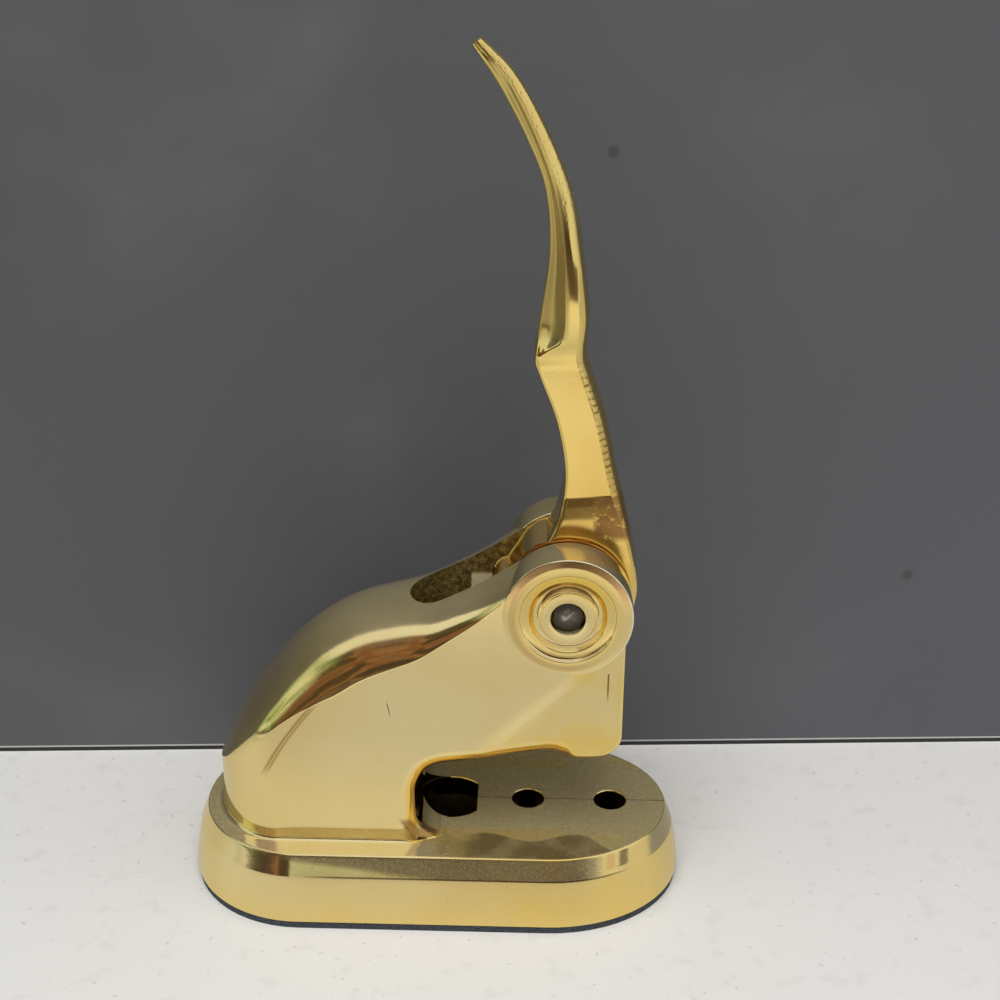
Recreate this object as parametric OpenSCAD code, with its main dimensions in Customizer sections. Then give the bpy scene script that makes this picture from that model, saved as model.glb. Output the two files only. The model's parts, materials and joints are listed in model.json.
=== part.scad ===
// Desk seal embosser: a cast frame with a hollow base and a forked head, a lever with a cam on its hub,
// and a sprung ram that the cam presses down. Millimetres.
// +X is the front, where the throat opens, and +Z is up.
// The origin lies at the middle of the underside, on the surface that it stands on.

/* [Base] */
// Length of the base
base_l = 143; // [135:0.5:160]
// Width of the base
base_w = 67.5; // [62:0.5:75]
// Height of the base's flat top above the table
base_top = 22.4; // [20:0.1:26]
// Height of the crease between the base's side and its shoulder
crease_z = 16.3; // [12:0.1:18]
// How far the side leans in from the bottom edge to the crease
side_lean = 1.9; // [0.5:0.1:3]
// How far the shoulder goes in from the crease to the flat top
shoulder_in = 2; // [0.5:0.1:4]
// Half-length of the round front end, measured along the base
front_end = 39; // [34:0.5:42]
// Half-length of the round rear end, measured along the base
rear_end = 34; // [34:0.5:38]
// Thickness of the base's side walls
base_wall = 6; // [4:0.5:8]
// Thickness of the base's top
top_wall = 6; // [4:0.5:8]
// Thickness of the pad under the base
pad_t = 2; // [1:0.1:4]
// Thickness of the plate that closes the base
plate_t = 1.5; // [1:0.1:2.5]
// Radius of the two screw holes in the base's top
die_hole_r = 4.66; // [3:0.02:5.5]
// Distance between the two screw holes in the base's top
die_hole_gap = 24.1; // [20:0.1:30]
// Radius of the round part of the window in the base's top
window_r = 10; // [6:0.5:12]
// Distance from the middle of the window's round part to its straight edge
window_reach = 7.5; // [4:0.5:9]

/* [Frame] */
// Half-width of the column where it meets the base
column_half = 22.6; // [21:0.1:25]
// Distance that the column's sides lean in for each millimetre of height
side_draft = 0.032; // [0:0.001:0.05]
// Place of the column's rear face along the base, behind the middle
column_rear = 64.8; // [62:0.1:66]
// Place of the hump's corner along the base, behind the middle
hump_x = 41.5; // [38:0.1:46]
// Height of the hump's corner
hump_z = 73.7; // [70:0.1:78]
// Height of the hump where the slot begins
slot_rear_z = 91.7; // [88:0.1:95]
// Place of the slot's rear end along the base, behind the middle
slot_rear = 6.7; // [2:0.1:12]
// Width of the slot between the two cheeks
slot_w = 19; // [17:0.1:20]
// Depth of the rounding at the column's rear, from its back to its flat side
foot_round = 22.5; // [18:0.5:24]
// Depth of the rounding at the hump's corner
hump_round = 18; // [12:0.5:20]
// Depth of the rounding where the slot begins
slot_round = 15; // [8:0.5:16]
// Depth of the rounding where the hump meets the boss
boss_round = 2; // [1:0.5:5]
// Thickness of the wall round the column's hollow
column_wall = 8; // [6:0.5:10]
// Place of the throat's back wall along the base, behind the middle
throat_back = 4.5; // [0:0.1:8]
// Height of the arm's underside at the throat's back
arm_under = 47.6; // [45:0.1:50]
// Height of the head's underside
head_under = 50.4; // [48.5:0.1:53]
// Radius of the throat's upper rear corner
throat_r = 6; // [3:0.5:8]
// Radius of the throat's lower rear corner
throat_foot_r = 8; // [4:0.5:10]
// Thickness of the arm's floor under the hollow
arm_floor = 9; // [6:0.5:11]
// Place of the head's front face along the base
head_front = 52.5; // [51:0.1:56]
// Thickness of the wall in front of the ram
front_wall = 4.6; // [3:0.1:5]
// Radius of the head's lower front corner
head_corner = 6; // [3:0.5:8]
// Height of the floor inside the head
head_floor = 62; // [61:0.1:64]
// Height of the wall in front of the hub
front_lip = 79; // [76:0.1:80]

/* [Pivot] */
// Place of the pivot pin along the base
pin_x = 36.8; // [36:0.1:38]
// Height of the pivot pin
pin_z = 94; // [92:0.1:96]
// Radius of the pivot pin
pin_r = 4; // [3:0.1:5]
// Half of the pivot pin's length
pin_half = 17.3; // [15:0.1:17.5]
// Radius of the bosses round the pivot
boss_r = 17.5; // [15:0.1:17.8]
// Distance from the middle plane to a boss's outer face
boss_half = 20.8; // [20.5:0.1:22]
// Radius of the step in a boss's face
step_r = 12.8; // [11:0.1:14]
// Depth of that step
step_deep = 0.7; // [0.3:0.1:1]
// Radius of the deeper recess in a boss's face
recess_r = 9.5; // [8.5:0.1:10.5]
// Depth of the deeper recess below the step
recess_deep = 1.8; // [1:0.1:2]
// Radius of the pads on the cheeks' inner faces
inner_pad_r = 17.2; // [10:0.1:17.5]
// Height of those pads
inner_pad_t = 0.6; // [0.2:0.1:1]
// Outer radius of the pivot bushes
bush_r = 8.1; // [6:0.1:8.4]
// Widening of a bush's bore at its mouth
bush_mouth = 0.7; // [0.3:0.1:1.5]
// Radial running clearance of the pin in its bushes
run_fit = 0.04; // [0.02:0.01:0.1]
// Thickness of the thrust washers between the hub and the cheeks
thrust_t = 0.5; // [0.3:0.1:0.8]
// Outer radius of the thrust washers
thrust_r = 12; // [10:0.5:14]
// Side clearance between the hub and each thrust washer
hub_gap = 0.3; // [0.2:0.05:0.6]
// Radius of the screw that holds the pin in the hub
hub_screw_r = 2.5; // [1.5:0.1:3]

/* [Lever] */
// Full swing of the lever, in degrees
swing = 72; // [40:1:74]
// Travel of the ram for each radian of swing, which is also the cam's base radius
cam_rate = 4; // [3:0.1:4.5]
// Drop from the pin to the ram's button at rest
cam_drop = 15; // [14:0.1:16]
// Clearance between the cam and the button
cam_gap = 0.3; // [0.2:0.05:0.5]
// Length of the flat in front of the cam
cam_flat = 6; // [4:0.5:7]
// Radius of the hub's front
hub_front_r = 19.1; // [18:0.1:20]
// Half-width of the lever's neck
neck_half = 6.5; // [5:0.1:7.5]
// Half-width of the handle's front bar at its widest
palm_half = 9.5; // [8:0.1:13]
// Half-width of the rib behind the bar
rib_half = 2.5; // [2:0.1:5]
// Height of the lever's tip above the pin
tip_z = 146.3; // [140:0.1:152]
// Distance from the pin back to the lever's tip
tip_back = 24.5; // [20:0.1:30]
// Thickness of the lever's tip
tip_t = 3; // [2:0.1:4]
// Half-width of the lever's tip
tip_half = 2.5; // [2:0.1:5]

/* [Ram] */
// Place of the ram along the base, which is also the middle of the two screw holes
ram_x = 39; // [38:0.1:40]
// Radius of the ram
ram_r = 8; // [7:0.1:8.5]
// Radius of the ram's stem
stem_r = 4.5; // [3.5:0.1:5]
// Height of the ram's lower end at rest
ram_bottom = 45; // [44:0.1:46]
// Gap between the ram's shoulder and the washer that stops it
shoulder_gap = 0.05; // [0.02:0.01:0.2]
// Radius of the button on top of the ram
button_r = 8.6; // [8:0.1:9]
// Thickness of the button's head
button_t = 2.2; // [1.5:0.1:3]
// Radius of the button's spigot
spigot_r = 2; // [1.5:0.1:2.5]
// Length of that spigot
spigot_l = 5.5; // [4:0.5:8]
// Thickness of the collar under the button
collar_t = 2.2; // [1.5:0.1:3]
// Outer radius of the sleeve that guides the ram
sleeve_r = 10.5; // [10:0.1:11]
// Radius of the sleeve's flange
flange_r = 13; // [12:0.1:14]
// Height of the sleeve flange's lower face
flange_under = 47.4; // [46:0.1:48.5]
// Radius of the spring's wire
wire_r = 0.55; // [0.4:0.05:0.6]
// Radius of the spring at the middle of its wire
coil_r = 6.9; // [6.2:0.1:7.4]
// Turns of the spring
coil_turns = 3; // [2:1:3]
// Thickness of the washer under the spring
washer_t = 1; // [0.5:0.1:1.5]
// Radius of the socket for a die's stem
socket_r = 4; // [2:0.1:5]
// Depth of that socket
socket_deep = 12; // [8:0.5:14]
// Radius of the screw that keeps the ram from turning
key_r = 2; // [1.5:0.1:2.2]
// Height of that screw
key_z = 54.5; // [53.5:0.1:56]
// Radius of its tip
key_tip_r = 1.4; // [1:0.1:1.6]
// Distance that its tip reaches into the ram
key_reach = 1.7; // [1:0.1:2]
// Side clearance of the tip in the ram's keyway
key_gap = 0.3; // [0.1:0.05:0.5]
// Radius of the screw that holds a die's stem
die_screw_r = 1.5; // [1:0.1:1.8]
// Outer radius of the collar and of the washer under the spring
seat_r = 8.4; // [8.2:0.1:8.7]

/* [Hidden] */
$fn = 64;

eps = 0.01;
gold = [0.83, 0.69, 0.36];
dark_steel = [0.25, 0.25, 0.26];
pale_steel = [0.62, 0.63, 0.65];
bronze = [0.62, 0.46, 0.26];
felt_grey = [0.20, 0.23, 0.27];

// Places worked out from the driving sizes
hollow_top = base_top - top_wall;
bevel_in = side_lean + shoulder_in;
stroke = cam_rate * swing * PI / 180;
button_top = pin_z - cam_drop;
stem_top = button_top - button_t;
clip_t = 0.6;
clip_z = stem_top - 2 * clip_t;
clip_r = 6.4;
groove_deep = 0.7;
collar_bottom = clip_z - collar_t;
ram_shoulder = head_floor - shoulder_gap;
washer_top = head_floor + washer_t;
inner_half = slot_w / 2 - inner_pad_t;
hub_half = inner_half - thrust_t - hub_gap;
bush_face = boss_half - step_deep - recess_deep;
front_inner = head_front - front_wall;
window_x = throat_back + 1 - window_r;
sink = 3;
seam = 0.06;
fan_x = -throat_back - 3.5;
fan_z = base_top - sink;
post_inset = 13;
post_r = 4;
plate_screw_r = 1.5;
plate_head_r = 2.8;
plate_screw_l = 7;

// A smooth curve from one point to another, leaving and arriving at given angles
function glide(p, a, q, b, t) =
    let (d = norm(q - p),
         u = [cos(a), sin(a)] * d,
         v = [cos(b), sin(b)] * d)
    (2 * t * t * t - 3 * t * t + 1) * p + (t * t * t - 2 * t * t + t) * u
    + (3 * t * t - 2 * t * t * t) * q + (t * t * t - t * t) * v;

// Points of a smooth curve through a list of points and angles, with n steps a stretch
function glide_path(nodes, n) =
    [for (k = [0 : len(nodes) - 2])
        for (i = [0 : n - 1])
            glide(nodes[k][0], nodes[k][1], nodes[k + 1][0], nodes[k + 1][1], i / n),
     nodes[len(nodes) - 1][0]];

// Points of an arc
function arc(c, r, a, b, n) = [for (i = [0 : n]) c + r * [cos(a + (b - a) * i / n), sin(a + (b - a) * i / n)]];

// ---------- the base ----------

// Outline of the base, moved in by a distance all round: two half ellipses joined by straight sides
function end_points(x, half_l, in, a, n) =
    [for (i = [0 : n])
        let (t = a + 180 * i / n,
             e = [cos(t) / half_l, sin(t) / (base_w / 2)],
             m = norm(e))
        [x + half_l * cos(t) - in * e[0] / m, base_w / 2 * sin(t) - in * e[1] / m]];
function base_outline(in) =
    concat(end_points(base_l / 2 - front_end, front_end, in, -90, 28),
           end_points(rear_end - base_l / 2, rear_end, in, 90, 28));

module base_slab(in, z, t) {
    translate([0, 0, z]) linear_extrude(t) polygon(base_outline(in));
}

module base_block() {
    hull() {
        base_slab(0, pad_t, 5);
        base_slab(side_lean, crease_z - eps, eps);
    }
    hull() {
        base_slab(side_lean, crease_z - eps, eps);
        base_slab(bevel_in - 0.7, base_top - 1.2, eps);
        base_slab(bevel_in, base_top - eps, eps);
    }
}

// Places of the posts that hold the bottom plate
function post_places() =
    [for (sx = [-1, 1]) for (sy = [-1, 1]) [sx * (base_l / 2 - front_end + post_inset), sy * (base_w / 2 - post_inset)]];

// ---------- the column and the hump ----------

boss_lean = 120;
boss_point = [pin_x, pin_z] + boss_r * [cos(boss_lean), sin(boss_lean)];
crest_nodes = [[[-column_rear, fan_z], 82],
               [[-hump_x, hump_z], 47],
               [[-slot_rear, slot_rear_z], 10],
               [boss_point, boss_lean - 90]];
round_depths = [foot_round, hump_round, slot_round, boss_round];
crest_steps = 9;
crest = glide_path(crest_nodes, crest_steps);
section_steps = 16;

// Depth of the rounding at a step along the crest
function depth_at(i) =
    let (u = i / crest_steps, k = min(floor(u), 2), f = u - k)
    round_depths[k] * (1 - f) + round_depths[k + 1] * f;
// Half-width of the flat sides at a height
function side_half(z) = column_half - side_draft * (z - base_top);
// A point of the section at a step along the crest: an ellipse from one side over the crest to the other
function hump_point(i, j) =
    let (c = crest[i],
         inward = ([fan_x, fan_z] - c) / norm([fan_x, fan_z] - c),
         t = -90 + 180 * j / section_steps,
         p = c + inward * depth_at(i) * (1 - cos(t)))
    [p[0], side_half(p[1]) * sin(t), p[1]];

module hump_block() {
    n = len(crest);
    m = section_steps + 1;
    near = n * m;
    far = near + 1;
    points = concat([for (i = [0 : n - 1]) for (j = [0 : m - 1]) hump_point(i, j)],
                    [[fan_x, -side_half(fan_z), fan_z], [fan_x, side_half(fan_z), fan_z]]);
    skin = [for (i = [0 : n - 2]) for (j = [0 : m - 2]) for (k = [0, 1])
               let (a = i * m + j)
               k == 0 ? [a, a + m + 1, a + m] : [a, a + 1, a + m + 1]];
    sides = [for (i = [0 : n - 2]) each [[near, i * m, (i + 1) * m], [far, (i + 1) * m + m - 1, i * m + m - 1]]];
    first = [far, each [for (j = [m - 1 : -1 : 0]) j], near];
    last = [near, each [for (j = [0 : m - 1]) (n - 1) * m + j], far];
    polyhedron(points, concat(skin, sides, [first, last]), convexity = 6);
}

// Side view of the arm and the head
module head_outline() {
    polygon([[fan_x - 4, fan_z], [fan_x, arm_under - 8], [throat_back + 20, head_under - 4],
             [head_front, head_under - 4], [head_front, pin_z - 4], boss_point + [0.3, -0.6],
             [fan_x - 4, arm_under]]);
}

// What the rounding of the head's lower front corner takes away
module corner_outline() {
    translate([head_front - head_corner, head_under]) difference() {
        translate([0, -1]) square(head_corner + 1);
        translate([0, head_corner]) circle(head_corner);
    }
}

// The room between the arm's two flat sides, which lean in as they rise, a hair inside the hump's own
module drafted_sides() {
    high = pin_z + boss_r;
    low_half = side_half(0) - seam;
    high_half = side_half(high) - seam;
    rotate([90, 0, 90]) translate([0, 0, -base_l]) linear_extrude(2 * base_l)
        polygon([[-low_half, 0], [low_half, 0], [high_half, high], [-high_half, high]]);
}

// Side view of the throat
module throat_outline() {
    top_slope = atan2(head_under - arm_under, ram_x - flange_r - throat_r + throat_back);
    polygon(concat(arc([throat_foot_r - throat_back, base_top + throat_foot_r], throat_foot_r, -90, -180, 8),
                   arc([throat_r - throat_back, arm_under - throat_r], throat_r, 180, 90 + top_slope, 8),
                   [[ram_x - flange_r, head_under], [base_l, head_under], [base_l, base_top]]));
}

module side_slab(half) {
    rotate([90, 0, 0]) translate([0, 0, -half]) linear_extrude(2 * half) children();
}

// Side view of the hollow inside the column and the arm
module hollow_outline() {
    w = column_wall;
    floor_z = arm_under + arm_floor;
    polygon([[w - column_rear, pad_t], [w - column_rear + 1.5, base_top + 14], [-hump_x - 5, hump_z - 17],
             [-hump_x + 8, hump_z - w], [-slot_rear - 12, slot_rear_z - w - 4], [-slot_rear, slot_rear_z - w - 2],
             [pin_x - boss_r, slot_rear_z - w - 2], [pin_x - boss_r, floor_z], [-throat_back - w, floor_z - 2],
             [-throat_back - w, pad_t]]);
}

module boss(side) {
    rotate([side * -90, 0, 0]) translate([0, 0, slot_w / 2]) cylinder(r = boss_r, h = boss_half - slot_w / 2);
}

// Steps in a boss's face, and the bore for its bush
module boss_steps(side) {
    rotate([side * -90, 0, 0]) {
        translate([0, 0, boss_half - step_deep]) cylinder(r = step_r, h = step_deep + 1);
        translate([0, 0, bush_face]) cylinder(r1 = bush_r, r2 = recess_r, h = recess_deep + eps);
        cylinder(r = bush_r, h = boss_half);
    }
}

module at_pin() {
    translate([pin_x, 0, pin_z]) children();
}

module at_ram(z) {
    translate([ram_x, 0, z]) children();
}

module frame() {
    color(gold) {
        difference() {
            union() {
                base_block();
                hump_block();
                intersection() {
                    side_slab(base_w / 2) head_outline();
                    drafted_sides();
                }
                at_pin() for (side = [-1, 1]) boss(side);
            }
            side_slab(base_w) throat_outline();
            side_slab(base_w) corner_outline();
            // the base's hollow, open below for its plate
            difference() {
                base_slab(base_wall, pad_t - 1, hollow_top - pad_t + 1);
                for (p = post_places())
                    translate([p[0], p[1], pad_t + plate_t]) cylinder(r = post_r, h = base_top);
            }
            for (p = post_places())
                translate([p[0], p[1], pad_t]) cylinder(r = plate_screw_r, h = plate_screw_l + 1);
            side_slab(slot_w / 2) hollow_outline();
            // the slot over the hump and between the cheeks
            translate([slot_w / 2 - slot_rear, 0, slot_rear_z - column_wall - 4]) {
                cylinder(r = slot_w / 2, h = 60);
                translate([0, -slot_w / 2, 0]) cube([pin_x, slot_w, 60]);
            }
            translate([pin_x - boss_r - 1, -slot_w / 2, head_floor])
                cube([front_inner - pin_x + boss_r + 1, slot_w, 90]);
            translate([front_inner - 1, -slot_w / 2, front_lip]) cube([20, slot_w, 90]);
            // the window in the base's top
            intersection() {
                translate([-window_x, 0, hollow_top - 1]) cylinder(r = window_r, h = top_wall + 9);
                translate([-60, -20, 0]) cube([60 - window_x + window_reach, 40, 60]);
            }
            for (s = [-1, 1]) at_ram(hollow_top - 1) translate([s * die_hole_gap / 2, 0, 0])
                cylinder(r = die_hole_r, h = top_wall + 2);
            at_ram(head_under - 1) cylinder(r = sleeve_r, h = head_floor - head_under + 2);
            translate([head_front - 12, 0, key_z]) rotate([0, 90, 0]) cylinder(r = key_r, h = 20);
            at_pin() for (side = [-1, 1]) boss_steps(side);
        }
        // pads on the cheeks' inner faces
        at_pin() for (side = [-1, 1]) rotate([side * -90, 0, 0]) translate([0, 0, inner_half]) difference() {
            cylinder(r = inner_pad_r, h = inner_pad_t + 0.5);
            translate([0, 0, -1]) cylinder(r = bush_r, h = inner_pad_t + 3);
        }
    }
}

module base_pad() {
    color(felt_grey) base_slab(0.4, 0, pad_t);
}

module bottom_plate() {
    color(pale_steel) difference() {
        base_slab(base_wall + 0.3, pad_t, plate_t);
        for (p = post_places()) translate([p[0], p[1], pad_t]) {
            translate([0, 0, -1]) cylinder(r = plate_screw_r + 0.05, h = 10);
            translate([0, 0, -eps]) cylinder(r1 = plate_head_r + 0.05, r2 = plate_screw_r + 0.05, h = plate_t);
        }
    }
}

// Countersunk screws, flush with the plate so that the pad lies flat on it
module plate_screws() {
    color(dark_steel) for (p = post_places()) translate([p[0], p[1], pad_t]) {
        cylinder(r1 = plate_head_r, r2 = plate_screw_r, h = plate_t - eps);
        cylinder(r = plate_screw_r, h = plate_screw_l);
    }
}

// ---------- the pivot ----------

module bush(side) {
    mouth = pin_r + run_fit + bush_mouth;
    at_pin() rotate([side * -90, 0, 0]) difference() {
        translate([0, 0, inner_half]) cylinder(r = bush_r, h = bush_face - inner_half);
        cylinder(r = pin_r + run_fit, h = boss_half);
        translate([0, 0, bush_face - bush_mouth]) cylinder(r1 = pin_r + run_fit, r2 = mouth + eps, h = bush_mouth + eps);
    }
}

module near_bush() {
    color(gold) bush(-1);
}

module far_bush() {
    color(gold) bush(1);
}

module pivot_pin() {
    c = 0.6;
    color(dark_steel) at_pin() rotate([90, 0, 0]) {
        translate([0, 0, -pin_half + c]) cylinder(r = pin_r, h = 2 * (pin_half - c));
        translate([0, 0, -pin_half]) cylinder(r1 = pin_r - c, r2 = pin_r, h = c);
        translate([0, 0, pin_half - c]) cylinder(r1 = pin_r, r2 = pin_r - c, h = c);
    }
}

module thrust_washer(side) {
    at_pin() rotate([side * -90, 0, 0]) translate([0, 0, inner_half - thrust_t]) difference() {
        cylinder(r = thrust_r, h = thrust_t);
        translate([0, 0, -1]) cylinder(r = pin_r + 0.3, h = thrust_t + 2);
    }
}

module near_washer() {
    color(bronze) thrust_washer(-1);
}

module far_washer() {
    color(bronze) thrust_washer(1);
}

// ---------- the lever ----------

// A point of the cam, which is an involute: as the lever swings by a degrees, the cam's lowest point drops
// by the base radius times that angle and stays right above the same spot of the flat button
function cam_point(a) =
    let (d = cam_drop - cam_gap + cam_rate * a * PI / 180)
    [-cam_rate * cos(a) - d * sin(a), cam_rate * sin(a) - d * cos(a)];

cam_end = swing + 4;
hub_corner = -45;
// Side view of the lever's rear and front edges, from the hub up, in millimetres from the pin
rear_nodes = [[[-7.5, 12], 62], [[-2, 31], 91], [[-4.2, 50], 110], [[-10, 68], 92], [[-7, 92], 89],
              [[-8.8, 112], 100], [[-tip_back, tip_z - 2], 127]];
front_nodes = [[[hub_front_r, 0], 90], [[16.8, 19], 103], [[10, 46], 108], [[3.6, 67], 95], [[3.6, 80], 92],
               [[1.6, 99], 100], [[-5.5, 123], 117], [[tip_t - tip_back - 0.6, tip_z], 140]];
// The crease where the handle's side meets the hollow behind it
crease_nodes = [[[-9, 69.5], 10], [[-2.7, 77], 90], [[-3.6, 94], 95], [[-9.6, 123.8], 113],
                [[-tip_back + 0.4, tip_z - 1.4], 141]];

module hub_outline() {
    polygon(concat([for (a = [0 : 4 : cam_end]) cam_point(a)],
                   [cam_point(cam_end) + [0.8, 3], cam_point(cam_end) + [3, 5], [-12, 12.5], [-7, 16], [6, 18]],
                   arc([0, 0], hub_front_r, 40, hub_corner, 16),
                   [[cam_flat - cam_rate, cam_gap - cam_drop]]));
}

function backwards(v) = [for (i = [len(v) - 1 : -1 : 0]) v[i]];

module stem_outline() {
    polygon(concat(glide_path(rear_nodes, 6), backwards(glide_path(front_nodes, 6))));
}

module bar_outline() {
    polygon(concat(glide_path(crease_nodes, 6), backwards(glide_path([for (i = [3 : 7]) front_nodes[i]], 6))));
}

// Front view of the handle: a leaf that widens above the neck and tapers to a narrow tip
module tongue_outline() {
    low = 62;
    full = 86;
    narrow = tip_z - 7;
    side = concat([[neck_half - 1, low]],
                  [for (i = [0 : 8]) [neck_half + (palm_half - neck_half) * (1 - cos(i * 22.5)) / 2,
                                      low + (full - low) * i / 8]],
                  [for (i = [0 : 8]) [tip_half + (palm_half - tip_half) * (1 + cos(i * 22.5)) / 2,
                                      full + 2 + (narrow - full - 2) * i / 8]],
                  [[tip_half, tip_z + 1]]);
    polygon(concat(side, [for (p = backwards(side)) [-p[0], p[1]]]));
}

module lever() {
    color(gold) at_pin() difference() {
        union() {
            side_slab(hub_half) hub_outline();
            intersection() {
                side_slab(neck_half) stem_outline();
                translate([-50, -20, 0]) cube([100, 40, 70]);
            }
            side_slab(rib_half) stem_outline();
            intersection() {
                side_slab(palm_half) bar_outline();
                rotate([90, 0, 90]) translate([0, 0, -50]) linear_extrude(100) tongue_outline();
            }
        }
        rotate([90, 0, 0]) translate([0, 0, -20]) cylinder(r = pin_r, h = 40);
        rotate([0, 90, 0]) cylinder(r = hub_screw_r, h = 30);
    }
}

module hub_set_screw() {
    l = 9;
    color(dark_steel) at_pin() translate([pin_r + 0.05, 0, 0]) rotate([0, 90, 0]) difference() {
        cylinder(r = hub_screw_r, h = l);
        translate([-5, -0.4, l - 1.5]) cube([10, 0.8, 3]);
    }
}

// ---------- the ram ----------

module ram_sleeve() {
    color(bronze) difference() {
        union() {
            at_ram(flange_under) cylinder(r = flange_r, h = head_under - flange_under);
            at_ram(flange_under) cylinder(r = sleeve_r, h = head_floor - flange_under);
        }
        at_ram(flange_under - 1) cylinder(r = ram_r + run_fit, h = 40);
        translate([ram_x, 0, key_z]) rotate([0, 90, 0]) cylinder(r = key_r, h = 20);
    }
}

module ram() {
    color(pale_steel) difference() {
        union() {
            at_ram(ram_bottom) cylinder(r = ram_r, h = ram_shoulder - ram_bottom);
            at_ram(ram_bottom) cylinder(r = stem_r, h = stem_top - ram_bottom);
        }
        at_ram(ram_bottom - 1) cylinder(r = socket_r, h = socket_deep + 1);
        // keyway, open at the shoulder
        translate([ram_x + ram_r - key_reach - key_gap, -key_tip_r - key_gap, key_z - key_tip_r - key_gap])
            cube([10, 2 * (key_tip_r + key_gap), 40]);
        // hole for the screw that holds a die
        at_ram(ram_bottom + 4) rotate([90, 0, 0]) cylinder(r = die_screw_r, h = 20);
        at_ram(stem_top - spigot_l - 0.5) cylinder(r = spigot_r, h = spigot_l + 4.5);
        at_ram(clip_z) difference() {
            cylinder(r = stem_r + 1, h = clip_t);
            translate([0, 0, -1]) cylinder(r = stem_r - groove_deep, h = clip_t + 2);
        }
    }
}

module ram_collar() {
    color(pale_steel) at_ram(collar_bottom) difference() {
        cylinder(r = seat_r, h = collar_t);
        translate([0, 0, -1]) cylinder(r = stem_r, h = collar_t + 2);
    }
}

module collar_clip() {
    color(dark_steel) at_ram(clip_z) difference() {
        cylinder(r = clip_r, h = clip_t);
        translate([0, 0, -1]) cylinder(r = stem_r - groove_deep, h = clip_t + 2);
        translate([-clip_r - 1, -2, -1]) cube([clip_r + 1, 4, clip_t + 2]);
    }
}

module ram_button() {
    color(dark_steel) {
        at_ram(stem_top) cylinder(r = button_r, h = button_t);
        at_ram(stem_top - spigot_l) cylinder(r = spigot_r, h = spigot_l + 0.1);
    }
}

// A point on the spring's wire: a turns round the ram and b degrees round the wire
function coil_point(a, b) =
    let (r = coil_r + wire_r * cos(b), rise = collar_bottom - washer_top - 2 * wire_r)
    [ram_x + r * cos(360 * a), r * sin(360 * a), washer_top + wire_r + rise * a / coil_turns + wire_r * sin(b)];

module ram_spring() {
    n = 28 * coil_turns;
    m = 10;
    points = [for (i = [0 : n]) for (j = [0 : m - 1]) coil_point(coil_turns * i / n, 360 * j / m)];
    skin = [for (i = [0 : n - 1]) for (j = [0 : m - 1])
               [i * m + j, i * m + (j + 1) % m, (i + 1) * m + (j + 1) % m, (i + 1) * m + j]];
    first = [for (j = [m - 1 : -1 : 0]) j];
    last = [for (j = [0 : m - 1]) n * m + j];
    color(pale_steel) polyhedron(points, concat(skin, [first, last]), convexity = 10);
}

module spring_washer() {
    color(pale_steel) at_ram(head_floor) difference() {
        cylinder(r = seat_r, h = washer_t);
        translate([0, 0, -1]) cylinder(r = stem_r + 0.3, h = washer_t + 2);
    }
}

// The two grub screws share one threaded hole
guide_tip = ram_x + ram_r - key_reach;
guide_body = ram_x + ram_r + run_fit + 0.2;
guide_end = guide_body + 2.3;
lock_end = head_front - 0.9;

module driver_slot(x) {
    translate([x - 0.8, -5, -0.3]) cube([2, 10, 0.6]);
}

module guide_screw() {
    color(dark_steel) translate([0, 0, key_z]) difference() {
        rotate([0, 90, 0]) {
            translate([0, 0, guide_tip]) cylinder(r = key_tip_r, h = guide_end - guide_tip);
            translate([0, 0, guide_body]) cylinder(r = key_r, h = guide_end - guide_body);
        }
        driver_slot(guide_end);
    }
}

module guide_lock_screw() {
    color(dark_steel) translate([0, 0, key_z]) difference() {
        rotate([0, 90, 0]) translate([0, 0, guide_end]) cylinder(r = key_r, h = lock_end - guide_end);
        driver_slot(lock_end);
    }
}

module die_set_screw() {
    color(dark_steel) at_ram(ram_bottom + 4) rotate([90, 0, 0]) difference() {
        translate([0, 0, socket_r + 0.2]) cylinder(r = die_screw_r, h = ram_r - socket_r - 0.5);
        translate([-5, -0.25, ram_r - 1]) cube([10, 0.5, 3]);
    }
}

frame();
base_pad();
bottom_plate();
plate_screws();
near_bush();
far_bush();
near_washer();
far_washer();
pivot_pin();
lever();
hub_set_screw();
ram_sleeve();
ram();
ram_collar();
collar_clip();
ram_button();
ram_spring();
spring_washer();
guide_screw();
guide_lock_screw();
die_set_screw();
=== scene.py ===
import json
import math

import bpy
import bmesh
import numpy as np
from mathutils import Matrix, Vector, geometry


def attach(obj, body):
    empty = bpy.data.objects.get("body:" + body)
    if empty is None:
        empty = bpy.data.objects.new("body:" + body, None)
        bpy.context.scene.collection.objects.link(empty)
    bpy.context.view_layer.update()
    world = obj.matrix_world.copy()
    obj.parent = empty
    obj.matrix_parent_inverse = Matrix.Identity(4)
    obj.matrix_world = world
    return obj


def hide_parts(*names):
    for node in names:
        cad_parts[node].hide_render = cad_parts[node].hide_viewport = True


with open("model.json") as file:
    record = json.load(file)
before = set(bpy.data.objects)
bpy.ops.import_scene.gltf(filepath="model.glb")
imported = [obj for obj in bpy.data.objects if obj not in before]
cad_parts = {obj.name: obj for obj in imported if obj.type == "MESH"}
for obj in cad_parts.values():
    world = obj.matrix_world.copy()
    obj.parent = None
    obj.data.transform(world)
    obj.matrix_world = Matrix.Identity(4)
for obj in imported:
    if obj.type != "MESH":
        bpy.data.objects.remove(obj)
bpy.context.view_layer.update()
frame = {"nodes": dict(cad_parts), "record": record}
MM = 0.001

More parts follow.
